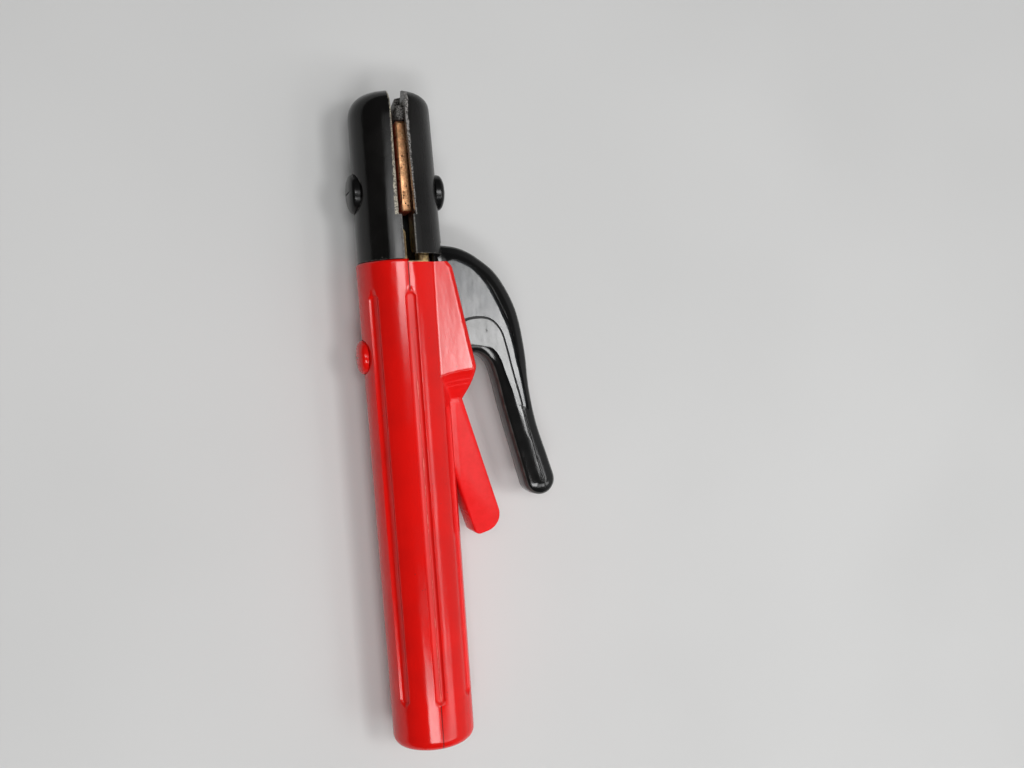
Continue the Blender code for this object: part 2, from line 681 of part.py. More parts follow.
def build_moving_cover():
    root = FRONT + MOVING_COVER_ROOT
    dome_radius = moving_cover_radius(COVER_TIP - MOVING_DOME)
    cavity_end = COVER_TIP - COVER_TIP_WALL
    inner_end = moving_cover_radius(cavity_end) - COVER_WALL
    profile = [*dome(COVER_TIP, dome_radius, MOVING_DOME), (COVER_RADIUS, root),
               (COVER_RADIUS - COVER_WALL, root),
               (inner_end, cavity_end - CAVITY_CORNER), (inner_end - CAVITY_CORNER, cavity_end),
               (0, cavity_end)]
    axis_x = MOVING_COVER_AXIS_X
    cover = turned("moving_jaw_cover", profile, (0, 1, 0), (axis_x, 0, 0), COVER_BLACK, SIDES)
    wide = COVER_RADIUS + PROUD + axis_x
    tip = COVER_TIP + PROUD
    stations = (WINDOW_Y, *(COVER_TIP - inset for inset in FLARE_INSETS), COVER_TIP)
    wedge = [*zip(MOVING_WINDOW_X, stations), (MOVING_WINDOW_X[-1] + PROUD / 2, tip),
             (-wide, tip), (-wide, WINDOW_Y)]
    cut(cover,
        box("moving_split", (-wide, root - PROUD, -wide), (MOVING_EDGE_X, tip, wide)),
        extruded("moving_window", wedge, wide),
        rod("moving_tip_groove", (FIXED_GRIP_X, cavity_end - PROUD, 0),
            (FIXED_GRIP_X, tip, 0), MOVING_TIP_GROOVE_RADIUS))
    block = box("tip_block", (TIP_BLOCK_X, cavity_end - TIP_BLOCK_REACH[0], -TIP_BLOCK_HALF),
                (MOVING_BACK_X, cavity_end + TIP_BLOCK_REACH[1], TIP_BLOCK_HALF),
                round_edges=TIP_BLOCK_ROUND)
    inner = axis_x + moving_cover_radius(SCREW_Y) - COVER_WALL
    boss = rod("moving_cover_boss", (inner + COVER_WALL / 2, SCREW_Y, 0),
               (MOVING_BACK_X + GAP, SCREW_Y, 0), COVER_BOSS_RADIUS)
    join(cover, block, boss)
    seat = moving_cap_seat_x()
    cut(cover,
        rod("moving_cap_seat", (seat, SCREW_Y, 0), (wide + SEAT_REACH, SCREW_Y, 0),
            MOVING_CAP_RADIUS + GAP),
        rod("moving_cover_hole", (axis_x, SCREW_Y, 0), (wide, SCREW_Y, 0), STUD_RADIUS + GAP),
        box("lever_nose_notch",
            (MOVING_BACK_X - NOSE_NOTCH_DEPTH, root - PROUD, -LEVER_HALF_THICKNESS - GAP),
            (wide, LEVER_NOSE_Y + GAP, LEVER_HALF_THICKNESS + GAP)))
    smooth(cover)
    return cover


# ---------------------------------------------------------------- brass castings
def shank():
    rear = -SOCKET_DEPTH
    front_collar = SHANK_FRONT - FRONT_COLLAR_LENGTH
    profile = [(0, SHANK_FRONT), (COLLAR_RADIUS - COLLAR_CHAMFER, SHANK_FRONT),
               (COLLAR_RADIUS, SHANK_FRONT - COLLAR_CHAMFER), (COLLAR_RADIUS, front_collar),
               (SHANK_RADIUS, front_collar - COLLAR_CHAMFER),
               (SHANK_RADIUS, rear + REAR_COLLAR_LENGTH + COLLAR_CHAMFER),
               (COLLAR_RADIUS, rear + REAR_COLLAR_LENGTH), (COLLAR_RADIUS, rear + COLLAR_CHAMFER),
               (COLLAR_RADIUS - COLLAR_CHAMFER, rear), (SOCKET_RADIUS + COLLAR_CHAMFER / 2, rear),
               (SOCKET_RADIUS, rear + COLLAR_CHAMFER / 2), (SOCKET_RADIUS, 0), (0, 0)]
    return turned("fixed_jaw_arm", profile, (0, 1, 0), finish=BRASS, sides=SHANK_SIDES)


def build_fixed_arm():
    arm = shank()
    flat = box("shank_flat", (SHANK_FLAT_X, SHANK_FRONT - FRONT_COLLAR_LENGTH - PROUD, -THROUGH),
               (COLLAR_RADIUS + PROUD, SHANK_FRONT + PROUD, THROUGH))
    cut(arm, flat)
    jaw_end = FRONT + JAW_LENGTH
    spine = box("fixed_spine", (FIXED_BACK_X, SHANK_FRONT - FORK_ROOT, -FORK_HALF_THICKNESS),
                (FIXED_FACE_X, jaw_end, FORK_HALF_THICKNESS), round_edges=JAW_ROUND)
    step = FRONT + SPINE_STEP
    root_low = SHANK_FRONT - FORK_ROOT
    root_outline = [(FIXED_BACK_X / 2, root_low), (SPINE_ROOT_X, root_low), (SPINE_ROOT_X, step),
                    (FIXED_FACE_X - JAW_ROUND, step + SPINE_STEP_LENGTH),
                    (FIXED_BACK_X / 2, step + SPINE_STEP_LENGTH)]
    join(arm, spine, extruded("spine_root", root_outline, FORK_HALF_THICKNESS * SEAM))
    for side, name in ((1, "upper_ear"), (-1, "lower_ear")):
        outline = stadium((FIXED_BACK_X + EAR_RADIUS, PIVOT_Y), (PIVOT_X, PIVOT_Y), EAR_RADIUS, 12)
        near, far = sorted((side * EAR_INNER_Z, side * FORK_HALF_THICKNESS * SEAM))
        join(arm, extruded(name, outline, far, low=near))
    cut(arm,
        rod("pivot_hole", (*PIVOT.xy, -THROUGH), (*PIVOT.xy, THROUGH), PIVOT_RADIUS + RUNNING_GAP),
        rod("fork_relief", (*PIVOT.xy, -EAR_INNER_Z), (*PIVOT.xy, EAR_INNER_Z),
            BOSS_RADIUS + 2 * GAP),
        box("contact_channel", (FIXED_CHANNEL_X, FRONT + FIXED_CONTACT_REAR_INSET - GAP,
                                -FIXED_CONTACT_HALF_THICKNESS - GAP),
            (SPINE_ROOT_X + PROUD, FRONT + JAW_LENGTH + PROUD,
             FIXED_CONTACT_HALF_THICKNESS + GAP)),
        rod("spring_seat", (SPRING_FLOOR_X, SPRING_Y, 0), (COLLAR_RADIUS + PROUD, SPRING_Y, 0),
            SPRING_POCKET_RADIUS),
        rod("handle_screw_thread", (-COLLAR_RADIUS - PROUD, HANDLE_SCREW_Y, 0),
            (handle_stud_end() + GAP, HANDLE_SCREW_Y, 0), STUD_RADIUS + GAP),
        rod("fixed_cover_thread", (FIXED_BACK_X - PROUD, SCREW_Y, 0),
            (FIXED_BACK_X + STUD_GRIP + GAP, SCREW_Y, 0), STUD_RADIUS + GAP))
    for inset in CLAMP_SCREW_INSETS:
        cut(arm, rod(f"clamp_hole_{inset}", (0, -inset, 0), (-SHANK_RADIUS - PROUD, -inset, 0),
                     CLAMP_SCREW_RADIUS + GAP, sides=24))
    smooth(arm)
    return arm


def tail_line():
    end = PIVOT + Vector((cos(TAIL_ANGLE), sin(TAIL_ANGLE), 0)) * TAIL_LENGTH
    return PIVOT.xy, end.xy


def build_moving_arm():
    jaw_root = FRONT + MOVING_JAW_ROOT
    jaw_end = FRONT + JAW_LENGTH - MOVING_JAW_SHORTER
    arm = box("moving_jaw_arm", (MOVING_FACE_X, jaw_root, -MOVING_JAW_HALF_THICKNESS),
              (MOVING_BACK_X, jaw_end, MOVING_JAW_HALF_THICKNESS), BRASS, JAW_ROUND)
    neck = box("moving_neck", (NECK_X[0], PIVOT_Y, -BOSS_HALF_THICKNESS),
               (NECK_X[1], jaw_root + NECK_REACH, BOSS_HALF_THICKNESS), round_edges=NECK_ROUND)
    boss = rod("moving_boss", (*PIVOT.xy, -BOSS_HALF_THICKNESS), (*PIVOT.xy, BOSS_HALF_THICKNESS),
               BOSS_RADIUS)
    tail = extruded("moving_tail", stadium(*tail_line(), TAIL_HALF_WIDTH), TAIL_HALF_THICKNESS)
    join(arm, neck, boss, tail)
    cut(arm,
        rod("moving_pivot_hole", (*PIVOT.xy, -THROUGH), (*PIVOT.xy, THROUGH),
            PIVOT_RADIUS + RUNNING_GAP),
        rod("moving_cover_thread", (MOVING_BACK_X + PROUD, SCREW_Y, 0),
            (MOVING_BACK_X - STUD_GRIP - GAP, SCREW_Y, 0), STUD_RADIUS + GAP),
        *(rod(f"tail_hole_{place}", (*tail_point(place), -THROUGH), (*tail_point(place), THROUGH),
              LEVER_PIN_RADIUS + GAP, sides=24) for place in LEVER_PIN_PLACES))
    smooth(arm)
    return arm


def tail_point(distance):
    return (PIVOT_X + cos(TAIL_ANGLE) * distance, PIVOT_Y + sin(TAIL_ANGLE) * distance)


# ---------------------------------------------------------------- copper contacts
def contact(name, grip_x, back_x, rear, half_thickness):
    """A rounded copper bar whose gripping face is notched across for the electrode."""
    low, high = sorted((grip_x, back_x))
    front = FRONT + CONTACT_REAR_INSET + CONTACT_LENGTH
    bar = box(name, (low, rear, -half_thickness), (high, front, half_thickness), COPPER,
              CONTACT_ROUND)
    outside = grip_x + (GAP if grip_x > back_x else -GAP)
    reach = half_thickness + PROUD
    for i in range(NOTCH_COUNT):
        y = front - (i + NOTCH_FIRST) * NOTCH_SPACING
        cut(bar, rod(f"{name}_notch_{i}", (outside, y, -reach), (outside, y, reach),
                     NOTCH_DEPTH + GAP, sides=4))
    smooth(bar)
    return bar


# ---------------------------------------------------------------- lever
LEVER_NOSE_Y = FRONT + 0.0072
LEVER_NOSE_X = 0.0134
LEVER_ROOT_X = 0.0152
LEVER_FOOT_Y = FRONT - 0.024
NOSE_NOTCH_DEPTH = 0.003   # cut into the moving cover's wall to clear the lever's nose
LEVER_OUTER = [(LEVER_NOSE_X, LEVER_NOSE_Y), (0.0254, 0.0670), (0.0347, 0.0615), (0.0423, 0.0537),
               (0.0489, 0.0395), (0.0517, 0.0220), (0.0524, 0.0060), (0.0546, -0.0095),
               (0.0588, -0.0250), (0.0608, -0.0325)]
LEVER_INNER = [(0.0476, -0.0367), (0.0402, -0.0040), (0.0375, 0.0100), (0.0350, 0.0180),
               (0.0302, 0.0218), (0.0250, 0.0212), (0.0210, 0.0196)]
RIM_INNER = [(0.0222, 0.0440), (0.0190, 0.0520), (0.0165, 0.0600), (0.0230, 0.0618),
             (0.0295, 0.0591), (0.0333, 0.0559), (0.0371, 0.0509), (0.0407, 0.0436),
             (0.0435, 0.0371), (0.0456, 0.0310), (0.0472, 0.0234), (0.0482, 0.0168),
             (0.0492, 0.0111), (0.0504, 0.0019)]
GROOVE_LINE = [(0.0222, 0.0350), (0.0280, 0.0369), (0.0342, 0.0369), (0.0382, 0.0351),
               (0.0416, 0.0305), (0.0435, 0.0232), (0.0454, 0.0134), (0.0479, 0.0021)]
LIP_LINE = [(0.0222, 0.0256), (0.0277, 0.0258), (0.0330, 0.0247), (0.0367, 0.0232),
            (0.0395, 0.0189), (0.0414, 0.0129), (0.0435, 0.0061), (0.0449, 0.0015)]
RIDGE_STEP = (0.0005, 0.0008)  # from the web's edge to the band's, over the ridge between


def lever_outline():
    outer = curve_through(LEVER_OUTER, 3)
    tip_width = hypot(LEVER_OUTER[-1][0] - LEVER_INNER[0][0], LEVER_OUTER[-1][1] - LEVER_INNER[0][1])
    heading = atan2(LEVER_INNER[0][1] - LEVER_OUTER[-1][1], LEVER_INNER[0][0] - LEVER_OUTER[-1][0])
    middle = ((LEVER_OUTER[-1][0] + LEVER_INNER[0][0]) / 2,
              (LEVER_OUTER[-1][1] + LEVER_INNER[0][1]) / 2)
    tip = arc(middle, tip_width / 2, heading + pi, heading, 10)
    inner = curve_through(LEVER_INNER, 3)
    root = arc(PIVOT.xy, LEVER_ROOT_RADIUS, radians(-48), radians(40), 8)
    foot = [(LEVER_ROOT_X, LEVER_INNER[-1][1]), (LEVER_ROOT_X, LEVER_FOOT_Y)]
    return outer[:-1] + tip + inner[1:] + foot + root


def build_lever():
    lever = rounded_plate("lever", lever_outline(), LEVER_HALF_THICKNESS, LEVER_ROUND, BLACK)
    web = curve_through(RIM_INNER, 2) + curve_through(GROOVE_LINE, 2)[::-1]
    band = [(x - RIDGE_STEP[0], y - RIDGE_STEP[1]) for x, y in curve_through(GROOVE_LINE, 2)]
    band += curve_through(LIP_LINE, 2)[::-1]
    for side, name in ((1, "upper"), (-1, "lower")):
        top = side * (LEVER_HALF_THICKNESS + PROUD)
        for outline, level, part in ((web, LEVER_WEB_HALF_THICKNESS, "web"),
                                     (band, LEVER_BAND_HALF_THICKNESS, "band")):
            near, far = sorted((side * level, top))
            cut(lever, extruded(f"{name}_{part}", outline, far, low=near))
    start, end = tail_line()
    pocket = extruded("tail_pocket", stadium(start, end, TAIL_HALF_WIDTH + GAP),
                      TAIL_HALF_THICKNESS + GAP)
    cup_seat = rod("cup_seat", (0, SPRING_Y, 0), (CUP_FLOOR_X + CUP_THICKNESS + GAP, SPRING_Y, 0),
                   CUP_RADIUS + GAP)
    cut(lever, pocket, cup_seat,
        *(rod(f"lever_hole_{place}", (*tail_point(place), -THROUGH), (*tail_point(place), THROUGH),
              LEVER_PIN_RADIUS + GAP, sides=24) for place in LEVER_PIN_PLACES))
    smooth(lever, radians(28))
    return lever


# ---------------------------------------------------------------- pivot, spring and clamp
def build_pivot():
    head_top = -FORK_HALF_THICKNESS - GAP
    ring_low = FORK_HALF_THICKNESS + GAP
    end = ring_low + RING_THICKNESS + 2 * GAP
    neck = PIVOT_RADIUS - RING_GROOVE_DEPTH
    centre = (PIVOT_X, PIVOT_Y, 0)
    pin = turned("pivot_pin",
                 [(0, end), (PIVOT_RADIUS - GAP, end), (PIVOT_RADIUS, end - GAP),
                  (PIVOT_RADIUS, ring_low + RING_THICKNESS + GAP / 2),
                  (neck, ring_low + RING_THICKNESS + GAP / 2), (neck, ring_low - GAP / 2),
                  (PIVOT_RADIUS, ring_low - GAP / 2), (PIVOT_RADIUS, head_top),
                  (PIN_HEAD_RADIUS, head_top), (PIN_HEAD_RADIUS, head_top - PIN_HEAD_THICKNESS),
                  (0, head_top - PIN_HEAD_THICKNESS)], (0, 0, 1), centre, STEEL)
    bore = neck + RUNNING_GAP
    ring = turned("pivot_ring", [(RING_RADIUS, ring_low + RING_THICKNESS), (RING_RADIUS, ring_low),
                                 (bore, ring_low), (bore, ring_low + RING_THICKNESS)],
                  (0, 0, 1), centre, STEEL)
    cut(ring, box("ring_gap", (PIVOT_X, PIVOT_Y - RING_MOUTH / 2, ring_low - PROUD),
                  (PIVOT_X + RING_RADIUS + PROUD, PIVOT_Y + RING_MOUTH / 2,
                   ring_low + PROUD * 2)))
    smooth(pin)
    smooth(ring)
    for name, side in (("upper_washer", 1), ("lower_washer", -1)):
        low = BOSS_HALF_THICKNESS + RUNNING_GAP
        heights = sorted((side * low, side * (low + WASHER_THICKNESS)), reverse=True)
        washer = turned(name, [(WASHER_RADIUS, heights[0]), (WASHER_RADIUS, heights[1]),
                               (PIVOT_RADIUS + RUNNING_GAP, heights[1]),
                               (PIVOT_RADIUS + RUNNING_GAP, heights[0])],
                        (0, 0, 1), centre, STEEL)
        smooth(washer)


def build_spring():
    """A compression spring along X: close turns at both ends, open turns between."""
    start = SPRING_FLOOR_X + GAP + SPRING_WIRE / 2
    end = CUP_FLOOR_X - GAP - SPRING_WIRE / 2
    close_pitch = SPRING_WIRE + GAP / 2
    open_turns = SPRING_TURNS - 2
    open_pitch = (end - start - 2 * close_pitch) / open_turns
    points = []
    for i in range(SPRING_TURNS * SPRING_STEPS + 1):
        turn = i / SPRING_STEPS
        middle_turns = min(max(turn - 1, 0), open_turns)
        along = start + (turn - middle_turns) * close_pitch + middle_turns * open_pitch
        angle = 2 * pi * turn
        points.append((along, SPRING_Y + SPRING_RADIUS * cos(angle), SPRING_RADIUS * sin(angle)))
    smooth(wire("lever_spring", points, SPRING_WIRE / 2, STEEL), radians(60))
    rim_top = CUP_RIM + CUP_THICKNESS
    inner = CUP_RADIUS - CUP_THICKNESS
    cup = turned("spring_cup", [(CUP_RADIUS, rim_top), (CUP_RADIUS, 0), (0, 0),
                                (0, CUP_THICKNESS), (inner, CUP_THICKNESS), (inner, rim_top)],
                 (-1, 0, 0), (CUP_FLOOR_X + CUP_THICKNESS, SPRING_Y, 0), STEEL)
    smooth(cup)


def build_lever_pins():
    half = LEVER_HALF_THICKNESS - GAP
    for name, place in zip(("lever_pin_front", "lever_pin_rear"), LEVER_PIN_PLACES):
        pin = rod(name, (*tail_point(place), -half), (*tail_point(place), half),
                  LEVER_PIN_RADIUS, STEEL, sides=24)
        smooth(pin)


def build_cable_clamp():
    for name, inset in zip(("cable_clamp_screw_front", "cable_clamp_screw_rear"),
                           CLAMP_SCREW_INSETS):
        inner = -SOCKET_RADIUS
        outer = -SHANK_RADIUS
        screw = rod(name, (inner, -inset, 0), (outer, -inset, 0), CLAMP_SCREW_RADIUS, STEEL,
                    sides=24)
        cut(screw, rod(f"hex_socket_{inset}", (outer + HEX_SOCKET_DEPTH, -inset, 0),
                       (outer - PROUD, -inset, 0), HEX_SOCKET_RADIUS, sides=6))
        smooth(screw)
    outer = SOCKET_RADIUS - GAP
    inner = outer - BUSH_WALL
    rear = -SOCKET_DEPTH + GAP
    bush = turned("cable_bush", [(outer, rear + BUSH_LENGTH), (outer, rear), (inner, rear),
                                 (inner, rear + BUSH_LENGTH)], (0, 1, 0), finish=COPPER)
    cut(bush, box("bush_slit", (0, rear - PROUD, -BUSH_SLIT / 2),
                  (outer + PROUD, rear + BUSH_LENGTH + PROUD, BUSH_SLIT / 2)))
    smooth(bush)


def handle_stud_end():
    """Where the handle screw's stud ends inside the shank's front collar."""
    return -COLLAR_RADIUS + STUD_GRIP


def build_screws():
    seat = fixed_cap_seat_x()
    capped_screw("fixed_jaw_cover_cap", "fixed_jaw_cover_screw", (-seat, SCREW_Y, 0), (-1, 0, 0),
                 FIXED_CAP_RADIUS, FIXED_CAP_HEIGHT, COVER_BLACK,
                 seat + FIXED_BACK_X + GAP + STUD_GRIP)
    seat = moving_cap_seat_x()
    capped_screw("moving_jaw_cover_cap", "moving_jaw_cover_screw", (seat, SCREW_Y, 0), (1, 0, 0),
                 MOVING_CAP_RADIUS, MOVING_CAP_HEIGHT, COVER_BLACK,
                 seat - MOVING_BACK_X + GAP + STUD_GRIP)
    seat = cap_seat_x(handle_radius(HANDLE_SCREW_Y), HANDLE_CAP_RADIUS)
    capped_screw("handle_screw_cap", "handle_screw", (-seat, HANDLE_SCREW_Y, 0), (-1, 0, 0),
                 HANDLE_CAP_RADIUS, HANDLE_CAP_HEIGHT, RED, seat + GAP + handle_stud_end())


def hang_on_pivot():
    """Parent the pieces that swing with the lever to an empty on the pivot's axis."""
    axis = bpy.data.objects.new("lever_pivot_axis", None)
    axis.location = PIVOT
    PARTS.objects.link(axis)
    for name in SWINGING:
        piece = bpy.data.objects[name]
        piece.parent = axis
        piece.matrix_parent_inverse = Matrix.Translation(-PIVOT)


def main():
    build_handle()
    build_fixed_cover()
    build_moving_cover()
    build_fixed_arm()
    build_moving_arm()
    contact("fixed_contact", FIXED_GRIP_X, FIXED_CHANNEL_X + GAP,
            FRONT + FIXED_CONTACT_REAR_INSET, FIXED_CONTACT_HALF_THICKNESS)
    contact("moving_contact", MOVING_GRIP_X, MOVING_FACE_X - GAP,
            FRONT + CONTACT_REAR_INSET, CONTACT_HALF_THICKNESS)
    build_lever()
    build_screws()
    build_pivot()
    build_spring()
    build_lever_pins()
    build_cable_clamp()
    hang_on_pivot()


main()
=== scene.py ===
"""Finish of an insulated electrode holder: moulded handle, covers, caps and lever, and cast metal.

Everything is in metres in the frame of the CAD part. The holder lies along Y with its jaws
toward +Y and its lever toward +X, and it is symmetric about the XY plane.
"""

import json
from math import atan2, cos, hypot, pi, radians, sin, sqrt

import bmesh
import bpy
from bpy.props import FloatProperty, FloatVectorProperty, IntProperty, PointerProperty
from mathutils import Matrix, Vector


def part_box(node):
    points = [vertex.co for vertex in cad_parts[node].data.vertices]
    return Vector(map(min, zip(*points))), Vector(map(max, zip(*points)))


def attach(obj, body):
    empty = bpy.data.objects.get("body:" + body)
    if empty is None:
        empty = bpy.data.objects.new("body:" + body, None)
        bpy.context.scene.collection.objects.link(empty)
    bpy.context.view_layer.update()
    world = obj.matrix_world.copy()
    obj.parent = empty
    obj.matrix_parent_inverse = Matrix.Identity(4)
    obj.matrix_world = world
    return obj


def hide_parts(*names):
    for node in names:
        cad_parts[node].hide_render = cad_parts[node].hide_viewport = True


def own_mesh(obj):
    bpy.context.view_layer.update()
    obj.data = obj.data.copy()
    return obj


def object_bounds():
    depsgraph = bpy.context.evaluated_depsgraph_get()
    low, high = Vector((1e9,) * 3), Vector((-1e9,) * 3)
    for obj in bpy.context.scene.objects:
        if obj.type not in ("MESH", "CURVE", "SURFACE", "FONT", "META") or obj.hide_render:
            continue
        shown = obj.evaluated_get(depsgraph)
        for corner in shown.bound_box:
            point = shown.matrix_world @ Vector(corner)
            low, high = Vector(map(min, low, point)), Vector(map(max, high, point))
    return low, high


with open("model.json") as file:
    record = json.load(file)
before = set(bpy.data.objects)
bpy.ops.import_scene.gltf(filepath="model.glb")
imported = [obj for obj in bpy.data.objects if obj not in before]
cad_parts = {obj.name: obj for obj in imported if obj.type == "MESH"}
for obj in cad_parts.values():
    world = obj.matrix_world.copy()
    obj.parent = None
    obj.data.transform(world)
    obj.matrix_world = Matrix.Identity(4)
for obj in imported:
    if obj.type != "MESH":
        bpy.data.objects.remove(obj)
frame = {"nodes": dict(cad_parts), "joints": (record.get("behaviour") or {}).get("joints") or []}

bl_info = {
    "name": "Electrode holder finish",
    "version": (1, 0, 0),
    "blender": (4, 5, 0),
    "location": "3D View > Sidebar > Electrode holder",
    "description": "Builds the finished mouldings and metal of an electrode holder",
    "category": "Add Mesh",
}

NODES = frame["nodes"]
CAD_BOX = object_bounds()


# ---------------------------------------------------------------- places read from the frame
HANDLE_LOW, HANDLE_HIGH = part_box("handle")
FRONT, REAR = HANDLE_HIGH.y, HANDLE_LOW.y
COVER_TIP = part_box("fixed_jaw_cover")[1].y
LEVER_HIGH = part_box("lever")[1]
PIVOT = Vector(frame["joints"][0]["pos_m"])

GAP = 0.0003                    # between pieces that touch on the real holder
PROUD = 0.002                   # how far a cutter stands out of what it cuts
WELD = 0.000002                 # corners closer than this are one
TINY = 1e-6


def round_place(node):
    """The radius of a piece that is round along X, and where its middle lies along Y."""
    low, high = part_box(node)
    return (high.y - low.y) / 2, (low.y + high.y) / 2


# ---------------------------------------------------------------- mesh helpers
def arc(centre, radius, start, end, steps):
    """Points round an arc in a plane, both ends included."""
    return [(centre[0] + radius * cos(start + (end - start) * i / steps),
             centre[1] + radius * sin(start + (end - start) * i / steps))
            for i in range(steps + 1)]


def curve_through(points, steps):
    """A smooth open line through the points."""
    ends = [Vector(points[0]) * 2 - Vector(points[1]), *map(Vector, points),
            Vector(points[-1]) * 2 - Vector(points[-2])]
    line = []
    for a, b, c, d in zip(ends, ends[1:], ends[2:], ends[3:]):
        for i in range(steps):
            t = i / steps
            line.append(0.5 * (2 * b + (c - a) * t + (2 * a - 5 * b + 4 * c - d) * t * t
                               + (3 * b - a - 3 * c + d) * t ** 3))
    return [tuple(p) for p in (*line, Vector(points[-1]))]


def spun(profile, steps):
    """A closed bmesh from a profile of (radius, y) points spun round the Y axis."""
    bm = bmesh.new()
    verts = [bm.verts.new((radius, y, 0)) for radius, y in profile]
    edges = [bm.edges.new(pair) for pair in zip(verts, verts[1:])]
    bmesh.ops.spin(bm, geom=verts + edges, cent=(0, 0, 0), axis=(0, 1, 0), angle=2 * pi,
                   steps=steps, use_merge=True)
    bmesh.ops.remove_doubles(bm, verts=bm.verts, dist=WELD)
    bmesh.ops.recalc_face_normals(bm, faces=bm.faces)
    return bm


def plate(outline, low, high):
    """A closed bmesh from a flat outline, extruded along Z."""
    bm = bmesh.new()
    face = bm.faces.new([bm.verts.new((x, y, low)) for x, y in outline])
    grown = bmesh.ops.extrude_face_region(bm, geom=[face], use_keep_orig=True)
    verts = [v for v in grown["geom"] if isinstance(v, bmesh.types.BMVert)]
    bmesh.ops.translate(bm, vec=(0, 0, high - low), verts=verts)
    bmesh.ops.recalc_face_normals(bm, faces=bm.faces)
    return bm


def rounded(bm, edges, radius, segments):
    """Round some edges of a bmesh."""
    bmesh.ops.bevel(bm, geom=edges, offset=radius, segments=segments, affect="EDGES", profile=0.5,
                    material=-1)


def block(low, high, rounding=0.0, segments=2):
    """A closed bmesh box between two corners, its edges rounded if asked."""
    low, high = Vector(low), Vector(high)
    bm = bmesh.new()
    bmesh.ops.create_cube(bm, size=1.0)
    bmesh.ops.scale(bm, vec=high - low, verts=bm.verts)
    bmesh.ops.translate(bm, vec=(low + high) / 2, verts=bm.verts)
    if rounding:
        rounded(bm, list(bm.edges), rounding, segments)
    return bm


def turned_along(bm, axis, centre):
    """Lay a bmesh that was spun round Y along another axis."""
    turn = Vector((0, 1, 0)).rotation_difference(Vector(axis)).to_matrix().to_4x4()
    bmesh.ops.transform(bm, matrix=Matrix.Translation(centre) @ turn, verts=bm.verts)
    return bm


def rod(start, end, radius, steps=48):
    """A closed bmesh cylinder between two points."""
    start, end = Vector(start), Vector(end)
    length = (end - start).length
    bm = spun([(0, 0), (radius, 0), (radius, length), (0, length)], steps)
    return turned_along(bm, end - start, start)


def linked(name, bm, *finishes):
    """A bmesh as an object in the scene."""
    mesh = bpy.data.meshes.new(name)
    bm.to_mesh(mesh)
    bm.free()
    for finish in finishes:
        mesh.materials.append(finish)
    thing = bpy.data.objects.new(name, mesh)
    bpy.context.scene.collection.objects.link(thing)
    return thing


def settle(piece):
    """Apply a piece's modifiers."""
    bpy.context.view_layer.update()
    solid = piece.evaluated_get(bpy.context.evaluated_depsgraph_get())
    mesh = bpy.data.meshes.new_from_object(solid)
    old = piece.data
    piece.modifiers.clear()
    piece.data = mesh
    bpy.data.meshes.remove(old)
    mesh.name = piece.name


def worked(piece, operation, *tools):
    """Join to a piece, or cut from it, the solids of some bmeshes."""
    cutters = []
    for i, bm in enumerate(tools):
        cutter = linked(f"{piece.name}_tool_{i}", bm)
        step = piece.modifiers.new(cutter.name, "BOOLEAN")
        step.operation = operation
        step.solver = "EXACT"
        step.object = cutter
        cutters.append(cutter)
    settle(piece)
    for cutter in cutters:
        mesh = cutter.data
        bpy.data.objects.remove(cutter, do_unlink=True)
        bpy.data.meshes.remove(mesh)


def soften(piece, width, angle=radians(38)):
    """Round off a piece's sharp edges with a live bevel, and shade the rest smooth."""
    step = piece.modifiers.new("softened_edges", "BEVEL")
    step.width = width
    step.segments = 2
    step.limit_method = "ANGLE"
    step.angle_limit = angle
    step.harden_normals = True
    step.use_clamp_overlap = True
    shaded(piece)


def shaded(piece, angle=radians(35)):
    """Shade smooth, but for edges sharper than an angle."""
    piece.data.shade_smooth()
    piece.data.set_sharp_from_angle(angle=angle)


def stands_for(piece, body, slot, *nodes):
    """Say what a finished piece moves with and replaces. The slot is not used."""
    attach(piece, body)
    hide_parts(*nodes)


# ---------------------------------------------------------------- node helpers
def joined(operation):
    """A method that adds a Math node of one kind to a signal's tree."""
    return lambda signal, other=0.0: signal.nodes.math(operation, signal, other)


class Signal:
    """An output of a node, which takes part in arithmetic by adding Math nodes."""

    __add__, __sub__ = joined("ADD"), joined("SUBTRACT")
    __mul__, __truediv__ = joined("MULTIPLY"), joined("DIVIDE")
    __gt__, __lt__ = joined("GREATER_THAN"), joined("LESS_THAN")
    __or__, __abs__ = joined("MAXIMUM"), joined("ABSOLUTE")

    def __init__(self, nodes, socket):
        self.nodes = nodes
        self.socket = socket

    def __rsub__(self, other):
        return self.nodes.math("SUBTRACT", other, self)


